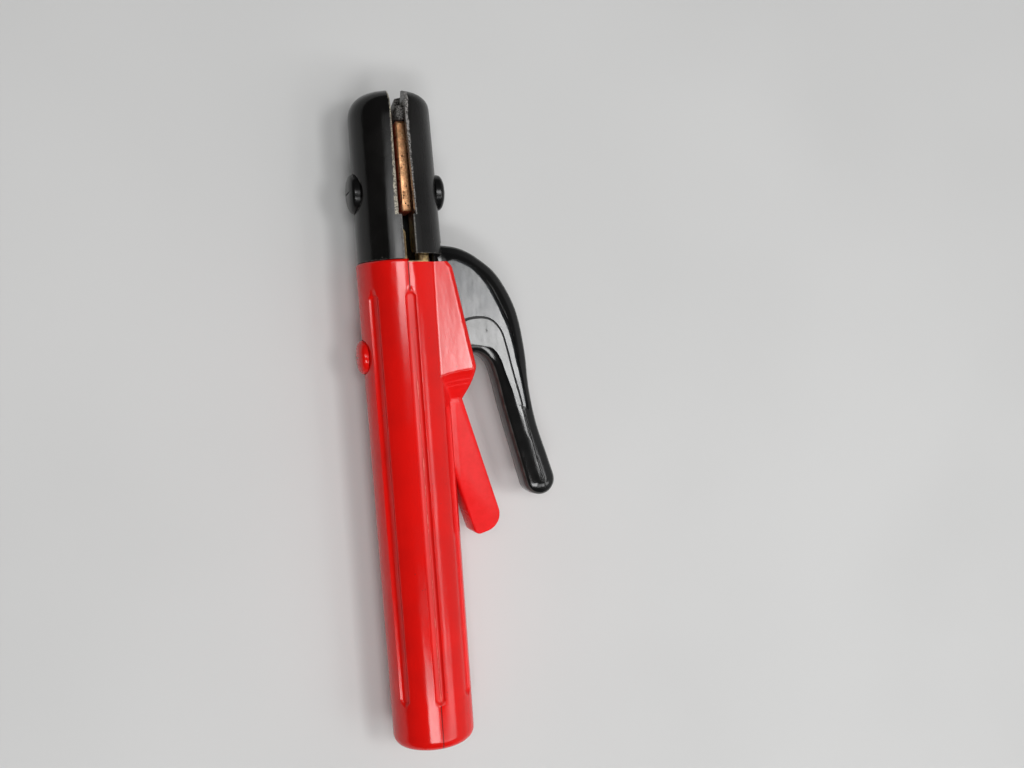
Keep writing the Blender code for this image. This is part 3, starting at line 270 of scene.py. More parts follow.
class Nodes:
    """Short ways to add and join the nodes of one tree, whose textures lie at a place."""

    def __init__(self, tree):
        self.tree = tree
        self.place = None

    def feed(self, socket, value):
        """Join a signal to an input, or set the input to a number or colour."""
        if isinstance(value, Signal):
            self.tree.links.new(value.socket, socket)
        else:
            socket.default_value = (*value, 1.0) if socket.type == "RGBA" else value

    def add(self, kind, *given, **settings):
        """A new node with its settings made and its first inputs fed in order."""
        node = self.tree.nodes.new("ShaderNode" + kind)
        for name, value in settings.items():
            setattr(node, name, value)
        for socket, value in zip(node.inputs, given):
            self.feed(socket, value)
        return node

    def named(self, node):
        """A node's outputs by name."""
        return {socket.name: Signal(self, socket) for socket in node.outputs}

    def math(self, operation, first, second=0.0, clamp=False):
        node = self.add("Math", first, second, operation=operation, use_clamp=clamp)
        return Signal(self, node.outputs[0])

    def ramp(self, value, low, high, start=0.0, end=1.0, curve="SMOOTHSTEP"):
        """Value from low to high mapped to start to end, smoothly unless told otherwise."""
        node = self.add("MapRange", value, low, high, start, end, interpolation_type=curve)
        return Signal(self, node.outputs[0])

    def noise(self, scale, detail=3.0, roughness=0.5, stretch=None):
        node = self.add("TexNoise", self.stretched(stretch) if stretch else self.place)
        for name, value in (("Scale", scale), ("Detail", detail), ("Roughness", roughness)):
            node.inputs[name].default_value = value
        return Signal(self, node.outputs["Fac"])

    def cells(self, scale):
        """How far the nearest of many scattered points is."""
        node = self.add("TexVoronoi", self.place)
        self.feed(node.inputs["Scale"], scale)
        return Signal(self, node.outputs["Distance"])

    def mix(self, share, first, second, kind="RGBA"):
        """The first colour, or number if kind is FLOAT, or the second where share is 1."""
        node = self.add("Mix", data_type=kind)
        for name, value in (("Factor", share), ("A", first), ("B", second)):
            self.feed(node.inputs[name], value)
        return Signal(self, node.outputs["Result"])

    def layered(self, colour, *layers):
        """A colour with others laid over it in turn, each given after its share."""
        for share, other in layers:
            colour = self.mix(share, colour, other)
        return colour

    def stretched(self, scale):
        """The place scaled by an amount along each axis."""
        node = self.add("Mapping", self.place)
        node.inputs["Scale"].default_value = scale
        return Signal(self, node.outputs["Vector"])

    def facing(self, axis):
        """How squarely the surface faces one way or the other along an axis, from 0 to 1."""
        normal = self.named(self.add("NewGeometry"))["Normal"]
        return abs(self.named(self.add("SeparateXYZ", normal))[axis])

    def group(self, tree, **inputs):
        """A shared effect at this tree's place: its outputs by name."""
        node = self.add("Group", self.place, node_tree=tree)
        for name, value in inputs.items():
            self.feed(node.inputs[name], value)
        return self.named(node)


def shared(**inputs):
    """Turns a function that draws an effect into one that gives its node group, built once.

    Every effect has an input for the place on the surface, and one for each number named here.
    """
    def wrap(draw):
        def effect():
            name = draw.__name__
            if name in bpy.data.node_groups:
                return bpy.data.node_groups[name]
            tree = bpy.data.node_groups.new(name, "ShaderNodeTree")
            tree.interface.new_socket("Place", in_out="INPUT", socket_type="NodeSocketVector")
            for label, default in inputs.items():
                socket = tree.interface.new_socket(label, in_out="INPUT",
                                                   socket_type="NodeSocketFloat")
                socket.default_value = default
            nodes = Nodes(tree)
            given = nodes.named(tree.nodes.new("NodeGroupInput"))
            nodes.place = given["Place"]
            results = draw(nodes, *(given[label] for label in inputs))
            for label in results:
                tree.interface.new_socket(label, in_out="OUTPUT", socket_type="NodeSocketFloat")
            end = tree.nodes.new("NodeGroupOutput")
            for label, value in results.items():
                nodes.feed(end.inputs[label], value)
            return tree
        return effect
    return wrap


@shared(Wave=1.0, Pitting=1.0)
def moulding_grain(nodes, wave, pitting):
    """Soft waviness and fine pitting of a moulded skin, as a height, and slow shade changes."""
    waves = nodes.noise(160.0, 2.0, stretch=(1.0, 0.35, 1.0))
    pits = nodes.noise(2400.0, 2.0)
    return {"Height": (waves - 0.5) * wave * 0.6 + (pits - 0.5) * pitting * 0.08,
            "Shade": nodes.noise(45.0, 4.0)}


@shared(Density=700.0, Amount=0.3)
def dust_and_glint_specks(nodes, density, amount):
    """Scattered specks, as a mask: dust and grit on the mouldings, painted glints on the brass."""
    spot = nodes.ramp(nodes.cells(density), 0.12, 0.22, 1.0, 0.0)
    return {"Mask": spot * (nodes.noise(260.0, 2.0) + amount > 0.93)}


@shared(Distance=0.0, Width=0.0005)
def plane_edge(nodes, distance, width):
    """A ragged band on both sides of a plane, as a mask, such as a chafed split line."""
    ragged = width * (nodes.noise(900.0, 3.0) * 2.0)
    return {"Mask": nodes.ramp(abs(distance) / ragged, 0.55, 1.15, 1.0, 0.0)}


@shared(Reach=0.0004, Amount=0.5)
def edge_wear(nodes, reach, amount):
    """Where a surface turns over an edge, as a ragged mask."""
    rounded = nodes.add("Bevel", reach, samples=4)
    flat = nodes.add("NewGeometry")
    dot = nodes.add("VectorMath", nodes.named(rounded)["Normal"], nodes.named(flat)["Normal"],
                    operation="DOT_PRODUCT")
    edge = nodes.ramp(nodes.named(dot)["Value"], 0.97, 0.85)
    return {"Mask": edge * nodes.ramp(nodes.noise(700.0, 3.0) + amount, 0.9, 1.15)}


class Finish(Nodes):
    """A new material: its shader, the object's own coordinates and the shared effects."""

    def __init__(self, name):
        self.material = bpy.data.materials.new(name)
        self.material.use_nodes = True
        super().__init__(self.material.node_tree)
        self.shader = self.tree.nodes["Principled BSDF"]
        self.place = self.named(self.add("TexCoord"))["Object"]
        self.x, self.y, self.z = self.named(self.add("SeparateXYZ", self.place)).values()

    def grain(self, wave, pitting):
        return self.group(moulding_grain(), Wave=wave, Pitting=pitting)

    def specks(self, density, amount):
        return self.group(dust_and_glint_specks(), Density=density, Amount=amount)["Mask"]

    def wear(self, reach, amount):
        return self.group(edge_wear(), Reach=reach, Amount=amount)["Mask"]

    def shine(self, colour, roughness, height=None, depth=0.0, **others):
        """Feed the shader, with a bump of a depth if there is a height, and give the material."""
        fed = {"base_color": colour, "roughness": roughness, **others}
        for socket in self.shader.inputs:
            name = socket.name.replace(" ", "_").lower()
            if name in fed:
                self.feed(socket, fed.pop(name))
        if fed:
            raise ValueError(f"the shader has no {sorted(fed)}")
        if height:
            bump = self.add("Bump")
            for name, value in (("Strength", 1.0), ("Distance", depth), ("Height", height)):
                self.feed(bump.inputs[name], value)
            self.feed(self.shader.inputs["Normal"], self.named(bump)["Normal"])
        return self.material


# ---------------------------------------------------------------- materials
WORN_RED = (0.74, 0.09, 0.08)
FLASH_RED = (0.86, 0.20, 0.15)
# painted shadow: the dark line of the mould seam
SEAM_SHADOW_RED = (0.12, 0.002, 0.002)
DUSTY_RED = (0.25, 0.02, 0.02)
# tongue and shoulder red: scuffed matt plastic, partly a painted sheen
SCUFFED_SHEEN_RED = (0.84, 0.014, 0.015)
CHAFED_BLACK = (0.26, 0.25, 0.23)
DUSTY_BLACK = (0.24, 0.22, 0.20)
SHADED_BLACK = (0.008, 0.005, 0.004)     # inside the covers, where little light comes
WORN_CAP = (0.11, 0.105, 0.10)
# lighter greys of the lever's sunk web and band: a painted reflection of bright light
BAND_SHEEN_GREY = (0.075, 0.078, 0.074)
WEB_SHEEN_GREY = (0.040, 0.046, 0.050)
WORN_LEVER = (0.13, 0.125, 0.12)
LEVER_DUST = (0.005, 0.005, 0.005)
RUBBED_COPPER = (0.98, 0.66, 0.34)
# painted shade on the contacts' sideways faces
SIDE_SHADE_COPPER = (0.36, 0.065, 0.030)
PITTED_COPPER = (0.06, 0.018, 0.008)
DULL_BRASS = (0.20, 0.125, 0.060)
# darker, less metallic brass from the jaw window toward the tip
DARKER_JAW_BRASS = (0.085, 0.022, 0.012)
# painted glints: pale specks on the brass
BRASS_GLINTS = (0.75, 0.66, 0.48)
FLOOR_SHADES = ((0.60, 0.60, 0.595), (0.63, 0.63, 0.625))

TOP_Z = 0.012                   # above this is the handle's top, with its seam and flash
SEAM_HALF = (0.00006, 0.00026)  # half the seam's width, full and faded
FLASH_X = 0.0004                # the flash in the top groove, off the middle
FLASH_WANDER = 0.0009
FLASH_HALF = (0.00007, 0.0006)  # half the flash's width, at its thinnest and in its lumps
FLASH_FADE = (0.030, 0.012)     # behind the top groove's front end
GROOVE_SHARE = 0.46             # of the groove's width on each side that is dull
LEDGE_X = (0.00015, 0.00045)    # where the mould's halves leave a step beside the flash
TONGUE_FADE = (0.002, 0.001)
TONGUE_INNER = 0.0035
SHOULDER_FADE = 0.002
SHOULDER_X = 0.0125
CUT_REACH = (0.0006, 0.0012)    # from a cover's split, how far its cut face goes
TIP_GRIT = (0.0030, 0.0010)     # behind a cover's tip
STRIP_WANDER = 0.0013
STRIP_FADE = 0.0003
HOLLOW_END = 0.0055             # behind a cover's tip
LEVEL_SLACK = 0.0002            # the lever's flat faces lie within this of their levels
LINE_SHADE = 0.0012             # how far down the line round the band is matt
RIM_FADE = (0.0006, 0.0003)     # under the top of the lever's rim
RIM_START = (0.0, 0.010)        # along Y, where the arm turns into the rim
JAW_FADE = (0.004, 0.002)       # around the start of the jaw window


def tinted(colour, share, lift=0.0):
    """A setting's colour, darker or lighter."""
    return [part * share + lift for part in colour]


def red_handle_plastic():
    """Glossy red moulding: faint mottling, mould seams at its ends with a painted shadow line
    along them, and flash in the top groove.
    """
    s = bpy.context.scene.holder_handle
    f = Finish("red_handle_plastic")
    grain, specks, wear = f.grain(0.8, 0.4), f.specks(520.0, 0.28), f.wear(0.0005, 0.35)
    groove_front, groove_rear = FRONT - s.groove_inset, REAR + GROOVE_REAR_INSET
    hump_end, cheek_end = FRONT - HUMP_LENGTH, FRONT - CHEEK_END
    on_top = f.z > TOP_Z
    ends = (f.y > groove_front) | (f.y < groove_rear)
    # painted shadow: the mould seam at the ends of the top is painted dark as well as dipped
    seam = f.ramp(abs(f.x), *SEAM_HALF, 1.0, 0.0) * ends * on_top
    wander = (f.noise(60.0, stretch=(0.0, 1.0, 0.0)) - 0.5) * FLASH_WANDER
    from_flash = f.x + wander - FLASH_X
    lumps = f.noise(150.0, 4.0, 0.7, (0.3, 1.0, 0.3))
    flash_half = f.ramp(lumps, 0.46, 0.72, *FLASH_HALF)
    near_flash = f.ramp(abs(from_flash) / flash_half, 0.5, 1.2, 1.0, 0.0)
    behind = f.ramp(f.y, *(groove_front - fade for fade in FLASH_FADE), 1.0, 0.0)
    behind = behind * (f.y > groove_rear)
    flash = near_flash * behind * on_top
    ledge = f.ramp(from_flash, *LEDGE_X) * behind * on_top
    # painted sheen: the tongue and the shoulder are painted a lighter red, partly scuffed matt
    # plastic and partly the light they catch
    tongue_part = f.ramp(f.y, hump_end - TONGUE_FADE[0], hump_end + TONGUE_FADE[1], 1.0, 0.0)
    shoulder = f.ramp(f.y, cheek_end - SHOULDER_FADE, cheek_end, 0.6, 0.0)
    matt = (tongue_part * (f.x > TONGUE_X - TONGUE_INNER)) | (shoulder * (f.x > SHOULDER_X))
    scuffs = f.ramp(f.noise(260.0, 5.0, 0.65), 0.35, 0.65, 0.6, 1.0)
    in_groove = ((abs(f.x) < s.groove_width * GROOVE_SHARE)
                 * f.math("SUBTRACT", on_top, ends, clamp=True))
    mottled = f.mix(f.ramp(grain["Shade"], 0.35, 0.7), s.colour, tinted(s.colour, 0.86))
    colour = f.layered(mottled, (wear * 0.25, WORN_RED), (flash * 0.4, FLASH_RED),
                       (seam * 0.9, SEAM_SHADOW_RED), (specks * 0.5, DUSTY_RED),
                       (matt * scuffs, SCUFFED_SHEEN_RED))
    rough = f.ramp(grain["Shade"], 0.3, 0.75, 0.11, 0.19) + in_groove * 0.22 + matt * 0.13
    height = grain["Height"] + flash * 0.9 - seam * 1.2 - ledge * 0.5
    return f.shine(colour, rough + wear * 0.15, height, 0.00022,
                   specular_ior_level=0.4 - matt * 0.28)


def black_cover_plastic(name, split_x, window_x, side, strip_width, strip_colours, cut_colour,
                        gloss):
    """Black moulding, chafed and gritty along its split and along the edge of the jaw window."""
    s = bpy.context.scene.holder_covers
    f = Finish(name)
    grain, specks, wear = f.grain(1.0, 1.0), f.specks(900.0, 0.22), f.wear(0.0006, 0.58)
    flare_start = COVER_TIP - FLARE_INSETS[0]
    in_window = f.y > WINDOW_Y
    straight = f.ramp(f.y, WINDOW_Y, flare_start, window_x[0], window_x[1], "LINEAR")
    flare = f.ramp(f.y, flare_start, COVER_TIP, 0.0, window_x[-1] - window_x[1], "LINEAR")
    from_edge = f.x - f.mix(in_window, split_x, straight + flare, "FLOAT")
    cut_face = (f.ramp(f.facing("X"), 0.86, 0.96)
                * f.ramp(abs(from_edge), *CUT_REACH, 1.0, 0.0))
    chafe = f.group(plane_edge(), Distance=from_edge, Width=0.0006)["Mask"]
    grit = f.noise(1500.0, 3.0, 0.6)
    tip = (f.ramp(f.y, *(COVER_TIP - inset for inset in TIP_GRIT))
           * f.ramp(grit, 0.45, 0.60, 0.15, 0.8))
    worn = (wear | (chafe * (1.0 - cut_face) * 0.75)) | tip
    wander = (f.noise(420.0, 4.0, 0.65) - 0.5) * STRIP_WANDER
    strip_edge = f.ramp(f.y, WINDOW_Y, flare_start, *strip_width, "LINEAR")
    strip = f.ramp(from_edge * side + strip_edge + wander, 0.0, STRIP_FADE) * in_window
    streak = f.noise(380.0, 4.0, 0.6, (1.0, 0.10, 1.0))
    # painted shade inside the covers' hollow, back from the tip
    across = f.x - MOVING_AXIS_X
    inside = (across * across + f.z * f.z < INNER_REACH ** 2) * (f.y < COVER_TIP - HOLLOW_END)
    mottled = f.mix(f.ramp(grain["Shade"], 0.35, 0.7), s.colour, tinted(s.colour, 1.7, 0.002))
    colour = f.layered(mottled, (cut_face, cut_colour),
                       (worn * f.ramp(grit, 0.38, 0.62, 0.25, 0.9), CHAFED_BLACK),
                       (specks * 0.6, DUSTY_BLACK), (inside, SHADED_BLACK),
                       (strip, f.mix(f.ramp(grit, 0.44, 0.56), *strip_colours)))
    rough = f.ramp(streak, 0.3, 0.75, *gloss) + worn * 0.3 + inside * 0.4
    height = grain["Height"] + streak * 0.25 + worn * grit * 0.4
    return f.shine(colour, rough, height, 0.0002, specular_ior_level=0.28)


def black_cap_plastic():
    """Harder, glossier black of the screw caps."""
    f = Finish("black_cap_plastic")
    grain, wear = f.grain(0.5, 0.5), f.wear(0.0003, 0.42)
    colour = f.mix(wear * 0.7, bpy.context.scene.holder_caps.colour, WORN_CAP)
    return f.shine(colour, f.ramp(grain["Shade"], 0.3, 0.7, 0.18, 0.27), grain["Height"], 0.00015,
                   specular_ior_level=0.3)


def black_lever_plastic():
    """Black moulding of the lever: glossy rim, its sunk web and band mottled and painted lighter
    grey as a painted reflection of bright light.
    """
    s = bpy.context.scene.holder_lever
    f = Finish("black_lever_plastic")
    grain, specks, wear = f.grain(1.0, 0.5), f.specks(600.0, 0.3), f.wear(0.0005, 0.4)
    flow = f.noise(95.0, 5.0, 0.6)
    level = abs(f.z)
    above_web = level > s.web_level - LEVEL_SLACK
    sunk = (level < s.band_level + LEVEL_SLACK) * above_web
    # painted reflection: the sunk web and band are painted lighter grey for the bright light they
    # mirror, mottled by the moulding's flow
    paler = f.mix(level < s.web_level + LEVEL_SLACK, BAND_SHEEN_GREY, WEB_SHEEN_GREY)
    in_line = (1.0 - above_web) * (level > s.web_level - LINE_SHADE)
    on_rim = f.ramp(level, *(s.half - fade for fade in RIM_FADE)) * f.ramp(f.y, *RIM_START)
    colour = f.layered(s.colour, (f.ramp(flow, 0.36, 0.66, 0.35, 1.0) * sunk, paler),
                       (wear * 0.5, WORN_LEVER), (specks * 0.5, LEVER_DUST))
    rough = f.ramp(flow, 0.3, 0.75, 0.10, 0.17) + sunk * 0.06 + in_line * 0.4
    return f.shine(colour, rough, grain["Height"], 0.00022,
                   specular_ior_level=0.5 - on_rim * 0.42)


def copper_contact_metal():
    """Pitted bright copper on the faces toward ±Z, with painted shade: darker red-brown on the
    faces that turn sideways.
    """
    s = bpy.context.scene.holder_metal
    f = Finish("copper_contact_metal")
    pits = (f.ramp(f.cells(850.0), 0.18, 0.34, 1.0, 0.0)
            * f.ramp(f.noise(500.0, 2.0), 0.47, 0.55))
    tarnish = f.noise(320.0, 4.0, 0.65)
    grit = f.noise(2200.0, 3.0, 0.7)
    # painted shade: faces that turn away from ±Z are painted darker red-brown and made less
    # metallic
    side = f.ramp(f.facing("Z"), 0.35, 0.8, 1.0, 0.0)
    mottled = f.mix(f.ramp(tarnish, 0.35, 0.65), s.copper, tinted(s.copper, 0.62))
    colour = f.layered(mottled, (f.ramp(grit, 0.52, 0.66), RUBBED_COPPER),
                       (side, SIDE_SHADE_COPPER), (pits, PITTED_COPPER))
    return f.shine(colour, f.ramp(tarnish, 0.3, 0.7, 0.30, 0.50),
                   tarnish * 0.5 - pits + grit * 0.35, 0.00022, metallic=1.0 - side * 0.7)


def cast_brass_metal():
    """Sand-cast brass, oxidised brown with brighter yellow patches, and pale specks that are
    painted glints.
    """
    s = bpy.context.scene.holder_metal
    f = Finish("cast_brass_metal")
    specks, wear = f.specks(800.0, 0.36), f.wear(0.0006, 0.5)
    sand, stain = f.noise(1400.0, 4.0, 0.6), f.noise(150.0, 5.0, 0.62)
    # from the start of the jaw window toward the tip the brass is darker and less metallic
    at_jaw = f.ramp(f.y, WINDOW_Y - JAW_FADE[0], WINDOW_Y + JAW_FADE[1]) * 0.88
    mottled = f.mix(f.ramp(stain, 0.42, 0.60), DULL_BRASS, s.brass)
    # the pale specks laid over the brass are painted glints
    colour = f.layered(mottled, (wear * 0.8, [min(part * 1.4, 0.9) for part in s.brass]),
                       (at_jaw, DARKER_JAW_BRASS), (specks * 0.8, BRASS_GLINTS))
    return f.shine(colour, f.ramp(sand, 0.3, 0.7, 0.36, 0.60), sand + stain * 0.8, 0.00018,
                   metallic=f.math("MAXIMUM", f.ramp(stain, 0.36, 0.60, 0.35, 0.9) - at_jaw, 0.1))


def plated_steel_metal():
    """Zinc-plated steel with fine turning marks."""
    s = bpy.context.scene.holder_metal
    f = Finish("plated_steel_metal")
    marks = f.noise(900.0, stretch=(1.0, 1.0, 6.0))
    colour = f.mix(f.ramp(f.noise(240.0, 3.0), 0.3, 0.7), s.steel, tinted(s.steel, 0.72))
    return f.shine(colour, f.ramp(marks, 0.3, 0.7, 0.22, 0.38), marks, 0.00008, metallic=1.0)


def pale_table():
    """Plain pale floor."""
    f = Finish("pale_table")
    return f.shine(f.mix(f.ramp(f.noise(6.0, 2.0), 0.3, 0.7), *FLOOR_SHADES), 0.75)


# ---------------------------------------------------------------- settings
def length(name, default, description):
    return FloatProperty(name=name, default=default, description=description, min=0.0, max=0.5,
                         unit="LENGTH", precision=5)


def divisions(default, description):
    return IntProperty(name="Steps", default=default, description=description, min=24, max=512)


def shade(name, default, description):
    return FloatVectorProperty(name=name, default=default, description=description,
                               subtype="COLOR", size=3, min=0.0, max=1.0)


class HandleSettings(bpy.types.PropertyGroup):
    front_radius: length("Front radius", 0.0179, "Radius of the grip at its front")
    rear_radius: length("Rear radius", 0.0171, "Radius of the grip at its rear")
    groove_depth: length("Groove depth", 0.0011, "Depth of the long grooves")
    groove_width: length("Groove width", 0.00469, "Width of the long grooves")
    groove_inset: length("Groove inset", 0.013, "From the front to the grooves' front ends")
    hump_half: length("Hump half thickness", 0.0142, "Half the hump's thickness over its cheeks")
    hump_peak: length("Hump peak", 0.0268, "How far the hump's top stands out along X")
    steps: divisions(288, "Divisions round the grip")
    colour: shade("Colour", (0.76, 0.0060, 0.0038), "Colour of the red moulding")


class CoverSettings(bpy.types.PropertyGroup):
    radius: length("Radius", 0.0170, "Outer radius of both jaw covers at the handle")
    wall: length("Wall", 0.0028, "Wall of the covers")
    steps: divisions(160, "Divisions round a cover")
    colour: shade("Colour", (0.0045, 0.0042, 0.004), "Colour of the black covers")


class CapSettings(bpy.types.PropertyGroup):
    slot_width: length("Slot width", 0.0009, "Width of the driver slot")
    slot_depth: length("Slot depth", 0.0005, "Depth of the driver slot")
    colour: shade("Colour", (0.004, 0.004, 0.004), "Colour of the black caps")


class LeverSettings(bpy.types.PropertyGroup):
    half: length("Half thickness", 0.0070, "Half the thickness of the lever's rim")
    web_level: length("Web level", 0.0044, "Half the thickness of the web")
    band_level: length("Band level", 0.0054, "Half the thickness of the band by the arch")
    rounding: length("Rounding", 0.0026, "Radius of the lever's outer edges")
    colour: shade("Colour", (0.006, 0.006, 0.006), "Colour of the black lever")


class MetalSettings(bpy.types.PropertyGroup):
    copper: shade("Copper", (0.80, 0.40, 0.20), "Colour of bright copper")
    brass: shade("Brass", (0.60, 0.46, 0.20), "Colour of cast brass")
    steel: shade("Steel", (0.58, 0.58, 0.60), "Colour of the plated steel")


class StageSettings(bpy.types.PropertyGroup):
    floor_drop: length("Floor drop", 0.0003, "How far the floor lies under the holder")
    lens: FloatProperty(name="Lens", default=35.16, description="Focal length on a 36 mm sensor",
                        min=10.0, max=200.0)


# ---------------------------------------------------------------- handle
MOUTH_RADIUS = 0.0150
MOUTH_DEPTH = 0.030
BORE_RADIUS = 0.0132
CABLE_RADIUS = 0.011
REAR_WALL = 0.010
REAR_ROUND = 0.004
RIM_ROUND = 0.001
SKIN_RADIUS = 0.0156       # vertices further out than this are on the handle's outside
HUMP_FRONT_X = 0.0190
HUMP_CORNER = 0.005
HUMP_FLANK = 0.045
HUMP_LENGTH = 0.059
HUMP_EDGE = 0.0017
HUMP_EDGE_SHARE = 0.9      # of half the hump's thickness that its rounded edge may take
SHOULDER_SLANT = 0.30
CHEEK_END = 0.0478
SHOULDER_POWER = 1.7
SHOULDER_HINGE = 0.018
SHOULDER_ROUND = 0.85      # share of the cheeks' fall that starts softly
SHOULDER_START = 1.25
HUMP_TURN = 0.02           # the hump lies where the skin faces toward +X by more than this
HUMP_OVERRUN = 0.0004
FILLET = 0.0006
GROOVES = (0, 52, 128, 180, 232, 308)   # degrees round the grip, from +Z toward +X
HUMP_SIDE_GROOVES = (52, 128)
HUMP_GROOVE_INSET = 0.0605
GROOVE_POINT = 0.0020      # length of a groove's pointed end
GROOVE_TAPER = 0.8
GROOVE_SQUARENESS = 4
GROOVE_END_RISE = 1.6      # how much sooner the end is full deep than full wide
RIDGE_START = 0.0498
RIDGE_PITCH = 0.0020
RIDGE_REACH = 0.0068
RIDGE_HEIGHT = 0.00013
GROOVE_REAR_INSET = 0.019
TONGUE_X = 0.0215
TONGUE_ANGLE = radians(14.7)
TONGUE_WIDTH = 0.0132
TONGUE_HALF = 0.0075
TONGUE_REACH = 0.0568
TONGUE_ROOT = 0.0060
TONGUE_TIP_ROUNDS = (0.0075, 0.0026)
TONGUE_EDGE = 0.0010
# The rings' pitch (second) as far as a distance behind the handle's front (first)
RING_PITCHES = ((0.0040, 0.0004), (0.0125, 0.0016), (0.0155, 0.0004), (0.0430, 0.0016),
                (0.0450, 0.00055), (0.0605, 0.0004), (0.0615, 0.00055))
LONG_PITCH = 0.0016
REAR_PITCH = 0.0007
REAR_RINGS = 0.004
BORE_STEP = 0.0022
MOUTH_CHAMFER = 0.0004
SLOT_ROUND = 0.0012
CAP_CLEARANCE = 0.012      # how far a cap's seat is cut clear outward
SLOT_LENGTH = 0.048
SLOT_HALF = 0.0092
SETBACK = 0.0014
STUD_RADIUS = 0.0025


def grip_radius(s, y):
    """The grip's tapering radius at a place along Y."""
    share = (FRONT - y) / (FRONT - REAR)
    return s.front_radius + (s.rear_radius - s.front_radius) * share


def groove_depth(s, y, angle):
    """How deep the long grooves are at a place on the grip."""
    deepest = 0.0
    for degrees in GROOVES:
        inset = HUMP_GROOVE_INSET if degrees in HUMP_SIDE_GROOVES else s.groove_inset
        inside = min(FRONT - inset - y, y - REAR - GROOVE_REAR_INSET)
        if inside <= 0:
            continue
        turn = (angle - radians(degrees) + pi) % (2 * pi) - pi
        share = min(inside / GROOVE_POINT, 1.0)
        across = abs(turn) / (s.groove_width / 2 / s.front_radius * share ** GROOVE_TAPER)
        if across < 1:
            profile = s.groove_depth * (1 - across ** GROOVE_SQUARENESS)
            deepest = max(deepest, profile * min(share * GROOVE_END_RISE, 1.0))
    return deepest


def hump_reach(s, y, angle):
    """How far out the hump's skin lies from the axis in a direction, or nothing."""
    down = FRONT - y
    across, along_z = sin(angle), abs(cos(angle))
    if across <= HUMP_TURN or down > HUMP_LENGTH + HUMP_OVERRUN:
        return 0.0
    outer = HUMP_FRONT_X + (s.hump_peak - HUMP_FRONT_X) * min(down / HUMP_FLANK, 1)
    if down < HUMP_CORNER:
        outer += -HUMP_CORNER + sqrt(HUMP_CORNER ** 2 - (HUMP_CORNER - down) ** 2)
    half = s.hump_half
    fall_length = HUMP_LENGTH - HUMP_FLANK
    if down > HUMP_FLANK:
        fall = min((down - HUMP_FLANK) / fall_length, 1.0) ** SHOULDER_POWER
        outer += (TONGUE_X - s.hump_peak) * fall
    slanted = down + SHOULDER_SLANT * (outer * across - SHOULDER_HINGE)
    if slanted > CHEEK_END:
        share = min((slanted - CHEEK_END) / (HUMP_LENGTH - CHEEK_END), 1.0)
        fall = SHOULDER_ROUND * share ** SHOULDER_START + (1 - SHOULDER_ROUND) * share
        half += (TONGUE_HALF - s.hump_half) * fall
        ridged = min(max(slanted - RIDGE_START, 0) / RIDGE_REACH, 1.0)
        phase = (slanted - RIDGE_START) * 2 * pi / RIDGE_PITCH
        half += RIDGE_HEIGHT * sin(phase) * sin(pi * ridged)
    corner = min(HUMP_EDGE, half * HUMP_EDGE_SHARE)
    reach = min(outer / across, half / max(along_z, TINY))
    centre_x, centre_z = outer - corner, half - corner
    if across * reach > centre_x and along_z * reach > centre_z:
        middle = centre_x * across + centre_z * along_z
        inside = middle ** 2 - centre_x ** 2 - centre_z ** 2 + corner ** 2
        reach = middle + sqrt(max(inside, 0.0))
    return reach


def ring_places():
    """Where the rings of the grip's outside lie along Y: closest at ends, ridges and shoulder."""
    places, y = [], FRONT - RIM_ROUND
    while y > REAR + REAR_ROUND:
        places.append(y)
        last = REAR_PITCH if y < REAR + GROOVE_REAR_INSET + REAR_RINGS else LONG_PITCH
        y -= next((pitch for limit, pitch in RING_PITCHES if FRONT - y < limit), last)
    return places


def tongue():
    """The leaning tongue, rounder at the outer corner of its tip, as a bmesh."""
    along = Vector((sin(TONGUE_ANGLE), -cos(TONGUE_ANGLE)))
    inward = Vector((-cos(TONGUE_ANGLE), -sin(TONGUE_ANGLE)))
    root = Vector((TONGUE_X, FRONT - HUMP_LENGTH))
    start, end = root - along * TONGUE_ROOT, root + along * TONGUE_REACH
    outer_round, inner_round = TONGUE_TIP_ROUNDS
    outline = [tuple(start),
               *arc(end + (inward - along) * outer_round, outer_round, TONGUE_ANGLE,
                    TONGUE_ANGLE - pi / 2, 14),
               *arc(end + inward * (TONGUE_WIDTH - inner_round) - along * inner_round,
                    inner_round, TONGUE_ANGLE - pi / 2, TONGUE_ANGLE - pi, 8),
               tuple(start + inward * TONGUE_WIDTH)]
    bm = plate(outline, -TONGUE_HALF, TONGUE_HALF)
    rims = [e for e in bm.edges if abs(e.verts[0].co.z - e.verts[1].co.z) < TINY]
    rounded(bm, rims, TONGUE_EDGE, 4)
    return bm


def cap_cutters(node, side, barrel, middle_x=0.0, hole_start=0.0):
    """What to cut from a barrel of a radius for a screw cap: its flat seat and its stud's hole."""
    radius, y = round_place(node)
    seat = middle_x + side * sqrt(barrel ** 2 - radius ** 2)
    outside = seat + side * CAP_CLEARANCE
    return (rod((seat, y, 0), (outside, y, 0), radius + GAP),
            rod((middle_x + side * hole_start, y, 0), (outside, y, 0), STUD_RADIUS + GAP))


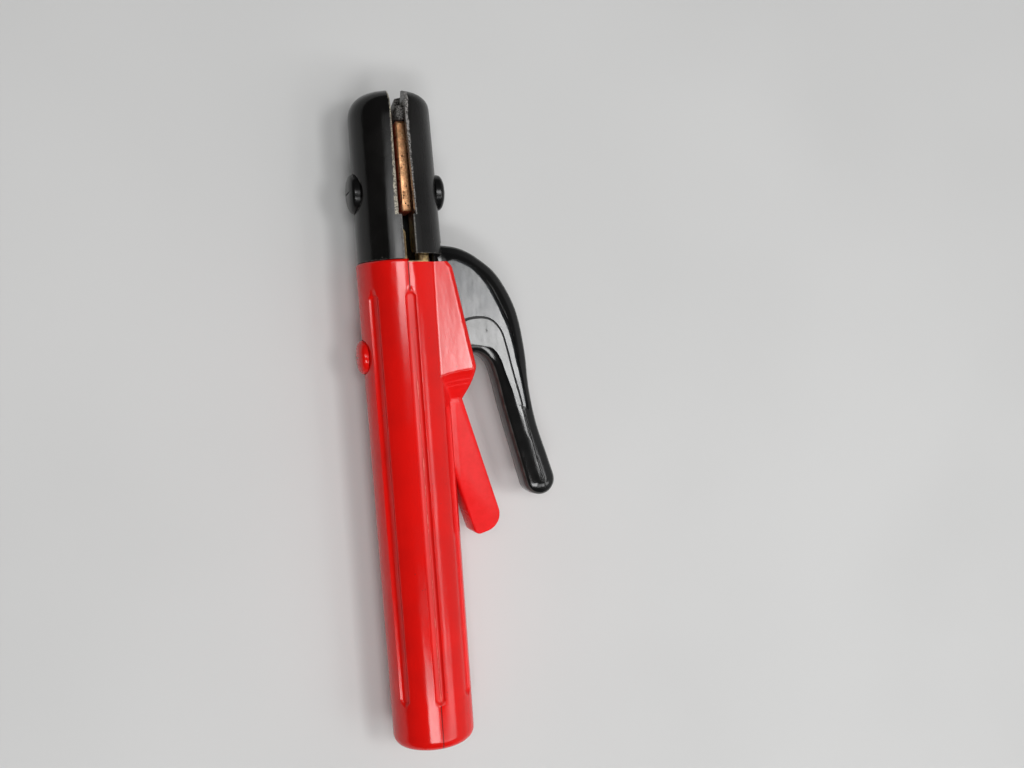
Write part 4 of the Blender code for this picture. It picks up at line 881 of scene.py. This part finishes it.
class HOLDER_OT_handle(bpy.types.Operator):
    """Builds the red handle: a grooved grip with its hump, slot and tongue"""

    bl_idname = "holder.handle"
    bl_label = "Handle"

    def execute(self, context):
        s = context.scene.holder_handle
        profile = [(CABLE_RADIUS, REAR + REAR_WALL), (BORE_RADIUS, REAR + REAR_WALL + BORE_STEP),
                   (BORE_RADIUS, FRONT - MOUTH_DEPTH - RIM_ROUND),
                   (MOUTH_RADIUS, FRONT - MOUTH_DEPTH), (MOUTH_RADIUS, FRONT - MOUTH_CHAMFER),
                   (MOUTH_RADIUS + MOUTH_CHAMFER, FRONT), (s.front_radius - RIM_ROUND, FRONT),
                   *[(s.front_radius - RIM_ROUND + x, FRONT - RIM_ROUND + y)
                     for x, y in arc((0, 0), RIM_ROUND, radians(75), radians(15), 4)],
                   *[(grip_radius(s, y), y) for y in ring_places()],
                   *arc((s.rear_radius - REAR_ROUND, REAR + REAR_ROUND), REAR_ROUND, 0,
                        -pi / 2, 8),
                   (CABLE_RADIUS + RIM_ROUND, REAR), (CABLE_RADIUS, REAR + RIM_ROUND),
                   (CABLE_RADIUS, REAR + REAR_WALL)]
        bm = spun(profile, s.steps)
        for v in bm.verts:
            radius = hypot(v.co.x, v.co.z)
            if radius > SKIN_RADIUS:
                angle = atan2(v.co.x, v.co.z)
                skin = radius - groove_depth(s, v.co.y, angle % (2 * pi))
                reach = hump_reach(s, v.co.y, angle)
                blend = max(FILLET - abs(skin - reach), 0) / FILLET
                skin = max(skin, reach) + blend * blend * FILLET / 4
                v.co.x *= skin / radius
                v.co.z *= skin / radius
        handle = linked("handle_moulding", bm, red_handle_plastic())
        worked(handle, "UNION", tongue())
        barrel = grip_radius(s, round_place("handle_screw_cap")[1])
        worked(handle, "DIFFERENCE",
               block((0, FRONT - SLOT_LENGTH, -SLOT_HALF),
                     (s.hump_peak + PROUD, FRONT + PROUD, SLOT_HALF), SLOT_ROUND, 3),
               block((GAP, FRONT - SETBACK, -s.front_radius - PROUD),
                     (s.hump_peak, FRONT + PROUD, s.front_radius + PROUD)),
               *cap_cutters("handle_screw_cap", -1, barrel, hole_start=BORE_RADIUS - PROUD))
        shaded(handle, radians(40))
        stands_for(handle, "body", "red_moulding", "handle")
        return {"FINISHED"}


# ---------------------------------------------------------------- jaw covers
FIXED_TAPER = 0.005        # radius lost over a length, as a share of it
MOVING_TAPER = 0.018
FIXED_DOME = 0.0130
MOVING_DOME = 0.0095
DOME_POWER = 2.8
TIP_WALL = 0.0070
CAVITY_CORNER = 0.0020
SPIGOT_LENGTH = 0.011
SPIGOT_WALL = 0.0018
SPIGOT_TOP = (0.002, 0.004)   # in front of the handle, where the spigot widens to the cavity
SHELL_STEPS = 12
COVER_EDGE = 0.00035
MOVING_AXIS_X = 0.0015
MOVING_ROOT = 0.0022
WINDOW_Y = FRONT + 0.018
SCREW_Y = FRONT + 0.029
FIXED_EDGE_X = -0.0008
FIXED_WINDOW_X = -0.0021
MOVING_EDGE_X = 0.0040
MOVING_WINDOW_X = (0.0052, 0.0039, 0.0042, 0.0049)
FIXED_STRIP = (0.0016, 0.0005)     # width of the gritty strip along the window
MOVING_STRIP = (0.0004, 0.0014)
FIXED_STRIP_COLOURS = ((0.07, 0.060, 0.045), (0.42, 0.38, 0.29))
MOVING_STRIP_COLOURS = ((0.035, 0.032, 0.030), (0.27, 0.26, 0.25))
FIXED_CUT_COLOUR = (0.006, 0.005, 0.004)
MOVING_CUT_COLOUR = (0.020, 0.011, 0.007)
INNER_REACH = 0.0125
HOLLOW_RADII = (0.0046, 0.0072)
FLARE_INSETS = (0.0117, 0.0052)
GRIP_X = 0.0008
FIXED_BACK_X = -0.0100
MOVING_BACK_X = 0.0131
BOSS_RADIUS = 0.0060
TIP_STOP = ((0.0023, -0.0050), (0.0131, 0.0010))   # across and along, from the cavity's end
TIP_STOP_HALF = 0.0068
TIP_STOP_EDGE = 0.0010
NOSE_DEPTH = 0.003


def dome(tip, radius, depth, steps=18):
    """The blunt rounded end of a cover, from the tip down to its full radius."""
    points = [(0.0, tip)]
    for i in range(1, steps + 1):
        turn = pi / 2 * i / steps
        rise = cos(turn) ** (2 / DOME_POWER) if i < steps else 0.0
        points.append((radius * sin(turn) ** (2 / DOME_POWER), tip - depth + depth * rise))
    return points


def run(first, last, steps):
    """Points along a straight line, the first left out."""
    return [tuple(a + (b - a) * i / steps for a, b in zip(first, last))
            for i in range(1, steps + 1)]


class HOLDER_OT_jaw_covers(bpy.types.Operator):
    """Builds the two half-round black covers of the jaws"""

    bl_idname = "holder.jaw_covers"
    bl_label = "Jaw covers"

    def execute(self, context):
        s = context.scene.holder_covers
        self.fixed(s)
        self.moving(s)
        return {"FINISHED"}

    def fixed(self, s):
        """The cover on the handle, with a spigot that enters the handle's mouth."""
        inner = s.radius - s.wall
        spigot = MOUTH_RADIUS - GAP
        cavity_end = COVER_TIP - TIP_WALL
        end_radius = s.radius - (COVER_TIP - FIXED_DOME - FRONT) * FIXED_TAPER
        shell = dome(COVER_TIP, end_radius, FIXED_DOME)
        profile = [*shell, *run(shell[-1], (s.radius, FRONT + GAP), SHELL_STEPS),
                   (spigot, FRONT + GAP), (spigot, FRONT - SPIGOT_LENGTH),
                   (spigot - SPIGOT_WALL, FRONT - SPIGOT_LENGTH),
                   (spigot - SPIGOT_WALL, FRONT + SPIGOT_TOP[0]), (inner, FRONT + SPIGOT_TOP[1]),
                   (inner, cavity_end - CAVITY_CORNER), (inner - CAVITY_CORNER, cavity_end),
                   (0, cavity_end)]
        finish = black_cover_plastic("black_fixed_cover_plastic", FIXED_EDGE_X,
                                     (FIXED_WINDOW_X, FIXED_WINDOW_X), 1, FIXED_STRIP,
                                     FIXED_STRIP_COLOURS, FIXED_CUT_COLOUR, (0.10, 0.18))
        cover = linked("fixed_cover_moulding", spun(profile, s.steps), finish)
        wide = s.radius + PROUD
        barrel = s.radius - (SCREW_Y - FRONT) * FIXED_TAPER
        worked(cover, "UNION", rod((-inner - s.wall / 2, SCREW_Y, 0),
                                   (FIXED_BACK_X - GAP, SCREW_Y, 0), BOSS_RADIUS))
        worked(cover, "DIFFERENCE",
               block((FIXED_EDGE_X, FRONT - SPIGOT_LENGTH - PROUD, -wide),
                     (wide, COVER_TIP + PROUD, wide)),
               block((FIXED_WINDOW_X, WINDOW_Y, -wide), (wide, COVER_TIP + PROUD, wide)),
               rod((GRIP_X, cavity_end - PROUD, 0), (GRIP_X, COVER_TIP + PROUD, 0),
                   HOLLOW_RADII[0]),
               *cap_cutters("fixed_jaw_cover_cap", -1, barrel))
        soften(cover, COVER_EDGE)
        stands_for(cover, "body", "black_cover", "fixed_jaw_cover")

    def moving(self, s):
        """The cover on the moving arm, cut away for the lever's nose."""
        root = FRONT + MOVING_ROOT
        cavity_end = COVER_TIP - TIP_WALL

        def radius_at(y):
            return s.radius - (y - root) * MOVING_TAPER

        inner_end = radius_at(cavity_end) - s.wall
        shell = dome(COVER_TIP, radius_at(COVER_TIP - MOVING_DOME), MOVING_DOME)
        profile = [*shell, *run(shell[-1], (s.radius, root), SHELL_STEPS),
                   (s.radius - s.wall, root), (inner_end, cavity_end - CAVITY_CORNER),
                   (inner_end - CAVITY_CORNER, cavity_end), (0, cavity_end)]
        bm = spun(profile, s.steps)
        bmesh.ops.translate(bm, vec=(MOVING_AXIS_X, 0, 0), verts=bm.verts)
        finish = black_cover_plastic("black_moving_cover_plastic", MOVING_EDGE_X, MOVING_WINDOW_X,
                                     -1, MOVING_STRIP, MOVING_STRIP_COLOURS,
                                     MOVING_CUT_COLOUR, (0.20, 0.36))
        cover = linked("moving_cover_moulding", bm, finish)
        wide = s.radius + PROUD + MOVING_AXIS_X
        tip = COVER_TIP + PROUD
        stations = (WINDOW_Y, *(COVER_TIP - inset for inset in FLARE_INSETS), COVER_TIP)
        wedge = [*zip(MOVING_WINDOW_X, stations), (MOVING_WINDOW_X[-1] + PROUD / 2, tip),
                 (-wide, tip), (-wide, WINDOW_Y)]
        worked(cover, "DIFFERENCE",
               block((-wide, root - PROUD, -wide), (MOVING_EDGE_X, tip, wide)),
               plate(wedge, -wide, wide),
               rod((GRIP_X, cavity_end - PROUD, 0), (GRIP_X, tip, 0), HOLLOW_RADII[1]))
        inner = MOVING_AXIS_X + radius_at(SCREW_Y) - s.wall
        worked(cover, "UNION",
               block((TIP_STOP[0][0], cavity_end + TIP_STOP[0][1], -TIP_STOP_HALF),
                     (TIP_STOP[1][0], cavity_end + TIP_STOP[1][1], TIP_STOP_HALF),
                     TIP_STOP_EDGE, 3),
               rod((inner + s.wall / 2, SCREW_Y, 0), (MOVING_BACK_X + GAP, SCREW_Y, 0),
                   BOSS_RADIUS))
        nose = LEVER_HIGH.y + GAP
        worked(cover, "DIFFERENCE",
               *cap_cutters("moving_jaw_cover_cap", 1, radius_at(SCREW_Y), MOVING_AXIS_X),
               block((MOVING_BACK_X - NOSE_DEPTH, root - PROUD, -LEVER_HIGH.z - GAP),
                     (wide, nose, LEVER_HIGH.z + GAP)))
        soften(cover, COVER_EDGE)
        stands_for(cover, "moving_arm", "black_cover", "moving_jaw_cover")


# ---------------------------------------------------------------- screw caps
CAP_CROWN = 0.0008         # how much the middle of a cap stands above its shoulder
CAP_CROWN_LINE = ((0.3, 0.08), (0.55, 0.3), (0.72, 0.62))   # out along the radius, down
CAP_EDGE = 0.0019
CAP_CHAMFER = 0.0003
CAP_BORE_DEPTH = 0.0022
CAP_STEPS = 72
MOVING_CAP_LOWERED = 0.0012
SLOT_EDGE = 0.0002


class HOLDER_OT_screw_caps(bpy.types.Operator):
    """Builds the moulded heads of the three insulated screws"""

    bl_idname = "holder.screw_caps"
    bl_label = "Screw caps"

    def execute(self, context):
        s = context.scene.holder_caps
        black = black_cap_plastic()
        red = bpy.data.materials["red_handle_plastic"]
        for name, node, side, lowered, finish, body, slot in (
                ("fixed", "fixed_jaw_cover_cap", -1, 0.0, black, "body", "black_cover"),
                ("moving", "moving_jaw_cover_cap", 1, MOVING_CAP_LOWERED, black, "moving_arm",
                 "black_cover"),
                ("handle", "handle_screw_cap", -1, 0.0, red, "body", "red_moulding")):
            cap = linked(f"{name}_cap_moulding", self.turned(node, side, lowered), finish)
            self.slot(cap, s, node, side, lowered)
            soften(cap, SLOT_EDGE)
            stands_for(cap, body, slot, node)
        return {"FINISHED"}

    def turned(self, node, side, lowered):
        """The cap's domed head with a bore for its stud, as a bmesh."""
        low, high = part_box(node)
        radius, middle = round_place(node)
        height = high.x - low.x - lowered
        profile = [(0, height),
                   *((radius * out, height - CAP_CROWN * down) for out, down in CAP_CROWN_LINE),
                   *arc((radius - CAP_EDGE, height - CAP_CROWN - CAP_EDGE), CAP_EDGE,
                        radians(72), 0, 6),
                   (radius, CAP_CHAMFER), (radius - CAP_CHAMFER, 0), (STUD_RADIUS + GAP, 0),
                   (STUD_RADIUS + GAP, CAP_BORE_DEPTH), (0, CAP_BORE_DEPTH)]
        base = Vector((low.x if side > 0 else high.x, middle, 0))
        return turned_along(spun(profile, CAP_STEPS), (side, 0, 0), base)

    def slot(self, cap, s, node, side, lowered):
        """Cut the driver slot across the cap's top."""
        low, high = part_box(node)
        radius, middle = round_place(node)
        top = (high.x if side > 0 else low.x) - side * lowered
        near, far = sorted((top + side * PROUD, top - side * s.slot_depth))
        worked(cap, "DIFFERENCE",
               block((near, middle - s.slot_width / 2, -radius - PROUD),
                     (far, middle + s.slot_width / 2, radius + PROUD)))


# ---------------------------------------------------------------- copper contacts
CONTACT_EDGE = 0.0012
CONTACT_SOFTNESS = 0.00025
NOTCHES = 4                # grooves across the gripping face for the electrode
NOTCH_PITCH = 0.009
NOTCH_START = 0.75         # pitches behind the contact's end
NOTCH_RADIUS = 0.0008


class HOLDER_OT_contacts(bpy.types.Operator):
    """Builds the two notched copper contacts of the jaws"""

    bl_idname = "holder.contacts"
    bl_label = "Contacts"

    def execute(self, context):
        finish = copper_contact_metal()
        for node, body in (("moving_contact", "moving_arm"), ("fixed_contact", "body")):
            low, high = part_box(node)
            bar = linked(f"{node}_bar", block(low, high, CONTACT_EDGE, 4), finish)
            axis_x = low.x - GAP if body == "moving_arm" else high.x + GAP
            reach = high.z + PROUD
            places = [high.y - (i + NOTCH_START) * NOTCH_PITCH for i in range(NOTCHES)]
            worked(bar, "DIFFERENCE",
                   *(rod((axis_x, y, -reach), (axis_x, y, reach), NOTCH_RADIUS, 4)
                     for y in places))
            soften(bar, CONTACT_SOFTNESS)
            stands_for(bar, body, "sintered_copper", node)
        return {"FINISHED"}


# ---------------------------------------------------------------- lever
LEVER_ROOT_RADIUS = 0.0084
LEVER_ROOT_X = 0.0152
LEVER_OUTER = [(0.0134, 0.0692), (0.0254, 0.0670), (0.0347, 0.0615), (0.0423, 0.0537),
               (0.0489, 0.0395), (0.0517, 0.0220), (0.0524, 0.0060), (0.0546, -0.0095),
               (0.0588, -0.0250), (0.0608, -0.0325)]
LEVER_INNER = [(0.0476, -0.0367), (0.0402, -0.0040), (0.0375, 0.0100), (0.0350, 0.0180),
               (0.0302, 0.0218), (0.0250, 0.0212), (0.0210, 0.0196)]
RIM_LINE = [(0.0165, 0.0600), (0.0230, 0.0618), (0.0295, 0.0591), (0.0333, 0.0559),
            (0.0371, 0.0509), (0.0407, 0.0436), (0.0435, 0.0371), (0.0456, 0.0310),
            (0.0472, 0.0234), (0.0482, 0.0168), (0.0492, 0.0111), (0.0504, 0.0019),
            (0.0511, -0.0042)]
STEP_LINE = [(0.0222, 0.0350), (0.0280, 0.0369), (0.0342, 0.0369), (0.0382, 0.0351),
             (0.0416, 0.0305), (0.0435, 0.0232), (0.0454, 0.0134), (0.0479, 0.0021),
             (0.0487, -0.0023)]
LIP_LINE = [(0.0222, 0.0256), (0.0277, 0.0258), (0.0330, 0.0247), (0.0367, 0.0235),
            (0.0397, 0.0191), (0.0416, 0.0129), (0.0437, 0.0061), (0.0457, -0.0001),
            (0.0466, -0.0021)]
PARTING_LINE = [(0.0485, -0.0040), (0.0502, -0.0116), (0.0525, -0.0240), (0.0550, -0.0342),
                (0.0563, -0.0386)]
ROUNDING_STRETCH = 2.0         # how much wider than tall the rounding is
ROUNDING_END = radians(62)     # where it stops, short of lying flat
GATE_MARK = (0.0345, 0.0312)
GATE_RADIUS = 0.0006
LEVER_DRAFT = 0.0003           # how much the wall leans in up to its rounding
LEVER_LEAST = 0.00001          # corners of the two halves closer than this are one
ROOT_TURN = (radians(-28), radians(40))
ROOT_INSET = 0.024
BAND_SHIFT = (0.0003, 0.0006)
STEP_HALF = 0.0006             # half the width of the line between web and band
STEP_DEPTH = 0.0009
PARTING_HALF = 0.00022
PARTING_DEPTH = 0.0013
LEVER_EDGE = 0.00035
TAIL_ANGLE = radians(-44)
TAIL_LENGTH = 0.0165
TAIL_HALF = (0.0052, 0.0026)   # half the tail's width and thickness
PIN_REACH = 0.02


def moulded(outline, start, steps):
    """An open bmesh that rises from a flat outline in steps of (inset, rise) to a flat top."""
    bm = bmesh.new()
    face = bm.faces.new([bm.verts.new((x, y, start)) for x, y in outline])
    bm.normal_update()
    side = 1 if face.normal.z > 0 else -1
    for inset, rise in steps:
        bmesh.ops.inset_individual(bm, faces=[face], thickness=inset, depth=side * rise,
                                   use_even_offset=True)
    return bm


def rounding_steps(width, height, end, count):
    """Steps of (inset, rise) along an ellipse from a wall to where its arc has turned to end."""
    turns = [end * i / count for i in range(count + 1)]
    return [(width * (cos(first) - cos(second)) / (1 - cos(end)),
             height * (sin(second) - sin(first)) / sin(end))
            for first, second in zip(turns, turns[1:])]


def widened(line, half):
    """A thin closed outline along a line."""
    ahead = [Vector(b) - Vector(a) for a, b in zip(line, line[1:])]
    ahead.append(ahead[-1])
    sides = [Vector((-d.y, d.x)).normalized() * half for d in ahead]
    return ([tuple(Vector(p) + n) for p, n in zip(line, sides)]
            + [tuple(Vector(p) - n) for p, n in zip(line, sides)][::-1])


def stadium(start, end, half, steps=16):
    """A closed outline with round ends about two points."""
    heading = atan2(end[1] - start[1], end[0] - start[0])
    return (arc(end, half, heading - pi / 2, heading + pi / 2, steps)
            + arc(start, half, heading + pi / 2, heading + 3 * pi / 2, steps))


class HOLDER_OT_lever(bpy.types.Operator):
    """Builds the curved black squeeze lever with its recessed web and band"""

    bl_idname = "holder.lever"
    bl_label = "Lever"

    def execute(self, context):
        s = context.scene.holder_lever
        outer, inner = curve_through(LEVER_OUTER, 6), curve_through(LEVER_INNER, 6)
        a, b = Vector(LEVER_OUTER[-1]), Vector(LEVER_INNER[0])
        heading = atan2(b.y - a.y, b.x - a.x)
        tip = arc(tuple((a + b) / 2), (a - b).length / 2, heading + pi, heading, 20)
        root = arc(PIVOT.xy, LEVER_ROOT_RADIUS, *ROOT_TURN, 4)
        foot = [(LEVER_ROOT_X, inner[-1][1]), (LEVER_ROOT_X, FRONT - ROOT_INSET)]
        # Few points near the corners, so that the insets of the rounding don't cross.
        outline = outer[:1] + outer[4:-1] + tip + inner[1:-4] + foot + root
        walls = [(LEVER_DRAFT, s.half - s.rounding)]
        walls += rounding_steps(s.rounding * ROUNDING_STRETCH, s.rounding, ROUNDING_END, 8)
        bm = moulded(outline, 0.0, walls)
        bmesh.ops.mirror(bm, geom=bm.verts[:] + bm.edges[:] + bm.faces[:], axis="Z",
                         merge_dist=LEVER_LEAST)
        bmesh.ops.recalc_face_normals(bm, faces=bm.faces)
        lever = linked("lever_moulding", bm, black_lever_plastic())
        rim, step, lip = (curve_through(line, 4) for line in (RIM_LINE, STEP_LINE, LIP_LINE))
        web = rim + step[::-1]
        band = [(x + BAND_SHIFT[0], y + BAND_SHIFT[1]) for x, y in step] + lip[::-1]
        cuts = ((web, s.web_level), (band, s.band_level),
                (widened(step, STEP_HALF), s.web_level - STEP_DEPTH),
                (widened(curve_through(PARTING_LINE, 5), PARTING_HALF), s.half - PARTING_DEPTH))
        tools = [plate(shape, *sorted((side * level, side * (s.half + PROUD))))
                 for side in (1, -1) for shape, level in cuts]
        start = PIVOT.xy
        end = start + Vector((cos(TAIL_ANGLE), sin(TAIL_ANGLE))) * TAIL_LENGTH
        width, thickness = (half + GAP for half in TAIL_HALF)
        cup_radius, cup_y = round_place("spring_cup")
        tools += [plate(stadium(start, end, width), -thickness, thickness),
                  rod((0, cup_y, 0), (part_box("spring_cup")[1].x + GAP, cup_y, 0),
                      cup_radius + GAP)]
        for name in ("lever_pin_front", "lever_pin_rear"):
            low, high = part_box(name)
            middle = (low + high) / 2
            tools.append(rod((middle.x, middle.y, -PIN_REACH), (middle.x, middle.y, PIN_REACH),
                             (high.x - low.x) / 2 + GAP, 32))
        tools.append(rod((*GATE_MARK, s.band_level - GATE_RADIUS), (*GATE_MARK, s.half),
                         GATE_RADIUS, 16))
        worked(lever, "DIFFERENCE", *tools)
        soften(lever, LEVER_EDGE, radians(40))
        stands_for(lever, "moving_arm", "black_moulding", "lever")
        return {"FINISHED"}


class HOLDER_OT_metal(bpy.types.Operator):
    """Finishes the brass castings, the copper bush and the steel parts"""

    bl_idname = "holder.metal"
    bl_label = "Metal parts"

    def execute(self, context):
        finishes = ((cast_brass_metal(), ("fixed_jaw_arm", "moving_jaw_arm")),
                    (bpy.data.materials["copper_contact_metal"], ("cable_bush",)),
                    (plated_steel_metal(),
                     ("pivot_pin", "pivot_ring", "upper_washer", "lower_washer", "lever_spring",
                      "spring_cup", "lever_pin_front", "lever_pin_rear",
                      "cable_clamp_screw_front", "cable_clamp_screw_rear", "handle_screw",
                      "fixed_jaw_cover_screw", "moving_jaw_cover_screw")))
        for finish, names in finishes:
            for name in names:
                for slot in NODES[name].material_slots:
                    slot.material = finish
        self.spring()
        return {"FINISHED"}

    def spring(self):
        """A welded, smooth-shaded copy of the spring that moves with the body."""
        wire = bmesh.new()
        wire.from_mesh(NODES["lever_spring"].data)
        bmesh.ops.remove_doubles(wire, verts=wire.verts, dist=WELD)
        coil = linked("lever_spring_coil", wire, bpy.data.materials["plated_steel_metal"])
        shaded(coil, radians(60))
        stands_for(coil, "body", "plated_steel", "lever_spring")
        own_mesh(coil)


# ---------------------------------------------------------------- stage
LAMP_HEIGHT = 1.20
LAMPS = (("key_softbox", (0.48, 0.01), (0.24, 0.20), 17.0),       # place, size, radiance
         ("key_wing", (0.48, 0.175), (0.24, 0.13), 9.0),
         ("cheek_softbox", (0.31, -0.01), (0.10, 0.16), 8.0),
         ("cheek_wing", (0.31, 0.155), (0.10, 0.17), 3.0),
         ("front_softbox", (-0.18, 0.155), (0.50, 0.16), 11.0),
         ("front_wing", (-0.34, 0.27), (0.84, 0.12), 4.0),
         ("front_top_wing", (-0.27, 0.39), (0.70, 0.12), 0.9),
         ("arm_wing", (0.52, -0.21), (0.16, 0.20), 8.0),
         ("tip_wing", (0.80, -0.92), (0.22, 0.16), 6.0),
         ("middle_wing", (0.14, 0.16), (0.14, 0.20), 1.5),
         ("rear_softbox", (-0.20, -0.66), (0.62, 0.30), 10.5),
         ("rear_wing", (0.92, -0.80), (1.50, 0.34), 3.0),
         ("window_strip", (0.98, -0.30), (0.24, 0.66), 3.8))
ROOM_LIGHT = (0.05, 0.45)      # on the side away from the lever, and on the lever's side
ROOM_FADE = (0.25, 0.95)       # where between them it changes, along X
FLOOR_HALF = 3.0
SENSOR = 36.0
NEAREST = 0.01                 # the camera sees nothing closer
EYE = (-0.0915, 0.0204, 0.4138)
EYE_BACKWARD = (-0.3157, 0.0297, 0.9484)
EYE_UP = (0.078, 0.9969, -0.0053)


class HOLDER_OT_stage(bpy.types.Operator):
    """Sets the pale floor, the soft studio light and the camera"""

    bl_idname = "holder.stage"
    bl_label = "Stage"

    def execute(self, context):
        scene = context.scene
        s = scene.holder_stage
        bm = bmesh.new()
        bmesh.ops.create_grid(bm, x_segments=1, y_segments=1, size=FLOOR_HALF)
        bmesh.ops.translate(bm, vec=(0, 0, CAD_BOX[0][2] - s.floor_drop), verts=bm.verts)
        linked("pale_floor", bm, pale_table())
        for name, place, size, radiance in LAMPS:
            self.lamp(scene, name, place, size, radiance)
        scene.world = self.room()
        scene.camera = self.eye(scene, s)
        scene.view_settings.view_transform = "Standard"
        return {"FINISHED"}

    def lamp(self, scene, name, place, size, radiance):
        """A flat softbox that faces straight down and shines evenly at a radiance."""
        data = bpy.data.lights.new(name, "AREA")
        data.shape = "RECTANGLE"
        data.size, data.size_y = size
        data.energy = radiance * pi * size[0] * size[1]
        softbox = bpy.data.objects.new(name, data)
        softbox.location = (*place, LAMP_HEIGHT)
        scene.collection.objects.link(softbox)

    def room(self):
        """A dim grey room, lighter on the lever's side."""
        world = bpy.data.worlds.new("pale_room")
        world.use_nodes = True
        nodes = Nodes(world.node_tree)
        heading = nodes.named(nodes.add("TexCoord"))["Generated"]
        along = nodes.named(nodes.add("SeparateXYZ", heading))["X"]
        nodes.feed(world.node_tree.nodes["Background"].inputs["Color"],
                   nodes.ramp(along, *ROOM_FADE, *ROOM_LIGHT))
        return world

    def eye(self, scene, s):
        """The camera above the holder, slightly aslant."""
        camera = bpy.data.cameras.new("camera")
        camera.sensor_width = SENSOR
        camera.lens = s.lens
        camera.clip_start = NEAREST
        eye = bpy.data.objects.new("camera", camera)
        backward = Vector(EYE_BACKWARD).normalized()
        across = Vector(EYE_UP).cross(backward).normalized()
        turn = Matrix((across, backward.cross(across), backward)).transposed().to_4x4()
        turn.translation = EYE
        eye.matrix_world = turn
        scene.collection.objects.link(eye)
        return eye


# ---------------------------------------------------------------- panel and registration
GROUPS = (("holder_handle", HandleSettings), ("holder_covers", CoverSettings),
          ("holder_caps", CapSettings), ("holder_lever", LeverSettings),
          ("holder_metal", MetalSettings), ("holder_stage", StageSettings))
STEPS = (HOLDER_OT_handle, HOLDER_OT_jaw_covers, HOLDER_OT_screw_caps, HOLDER_OT_contacts,
         HOLDER_OT_lever, HOLDER_OT_metal, HOLDER_OT_stage)


class HOLDER_PT_panel(bpy.types.Panel):
    """Lists the holder's pieces and their settings"""

    bl_label = "Electrode holder"
    bl_idname = "HOLDER_PT_panel"
    bl_space_type = "VIEW_3D"
    bl_region_type = "UI"
    bl_category = "Electrode holder"

    def draw(self, context):
        for step in STEPS:
            self.layout.operator(step.bl_idname)
        for name, group in GROUPS:
            column = self.layout.column(align=True)
            column.label(text=group.__name__)
            for prop in group.__annotations__:
                column.prop(getattr(context.scene, name), prop)


def register():
    for name, group in GROUPS:
        bpy.utils.register_class(group)
        setattr(bpy.types.Scene, name, PointerProperty(type=group))
    for step in (*STEPS, HOLDER_PT_panel):
        bpy.utils.register_class(step)


def unregister():
    for step in reversed((*STEPS, HOLDER_PT_panel)):
        bpy.utils.unregister_class(step)
    for name, group in reversed(GROUPS):
        delattr(bpy.types.Scene, name)
        bpy.utils.unregister_class(group)


def main():
    register()
    for step in STEPS:
        group, name = step.bl_idname.split(".")
        if getattr(getattr(bpy.ops, group), name)() != {"FINISHED"}:
            raise RuntimeError(f"{step.bl_idname} did not finish")


if __name__ == "__main__":
    main()
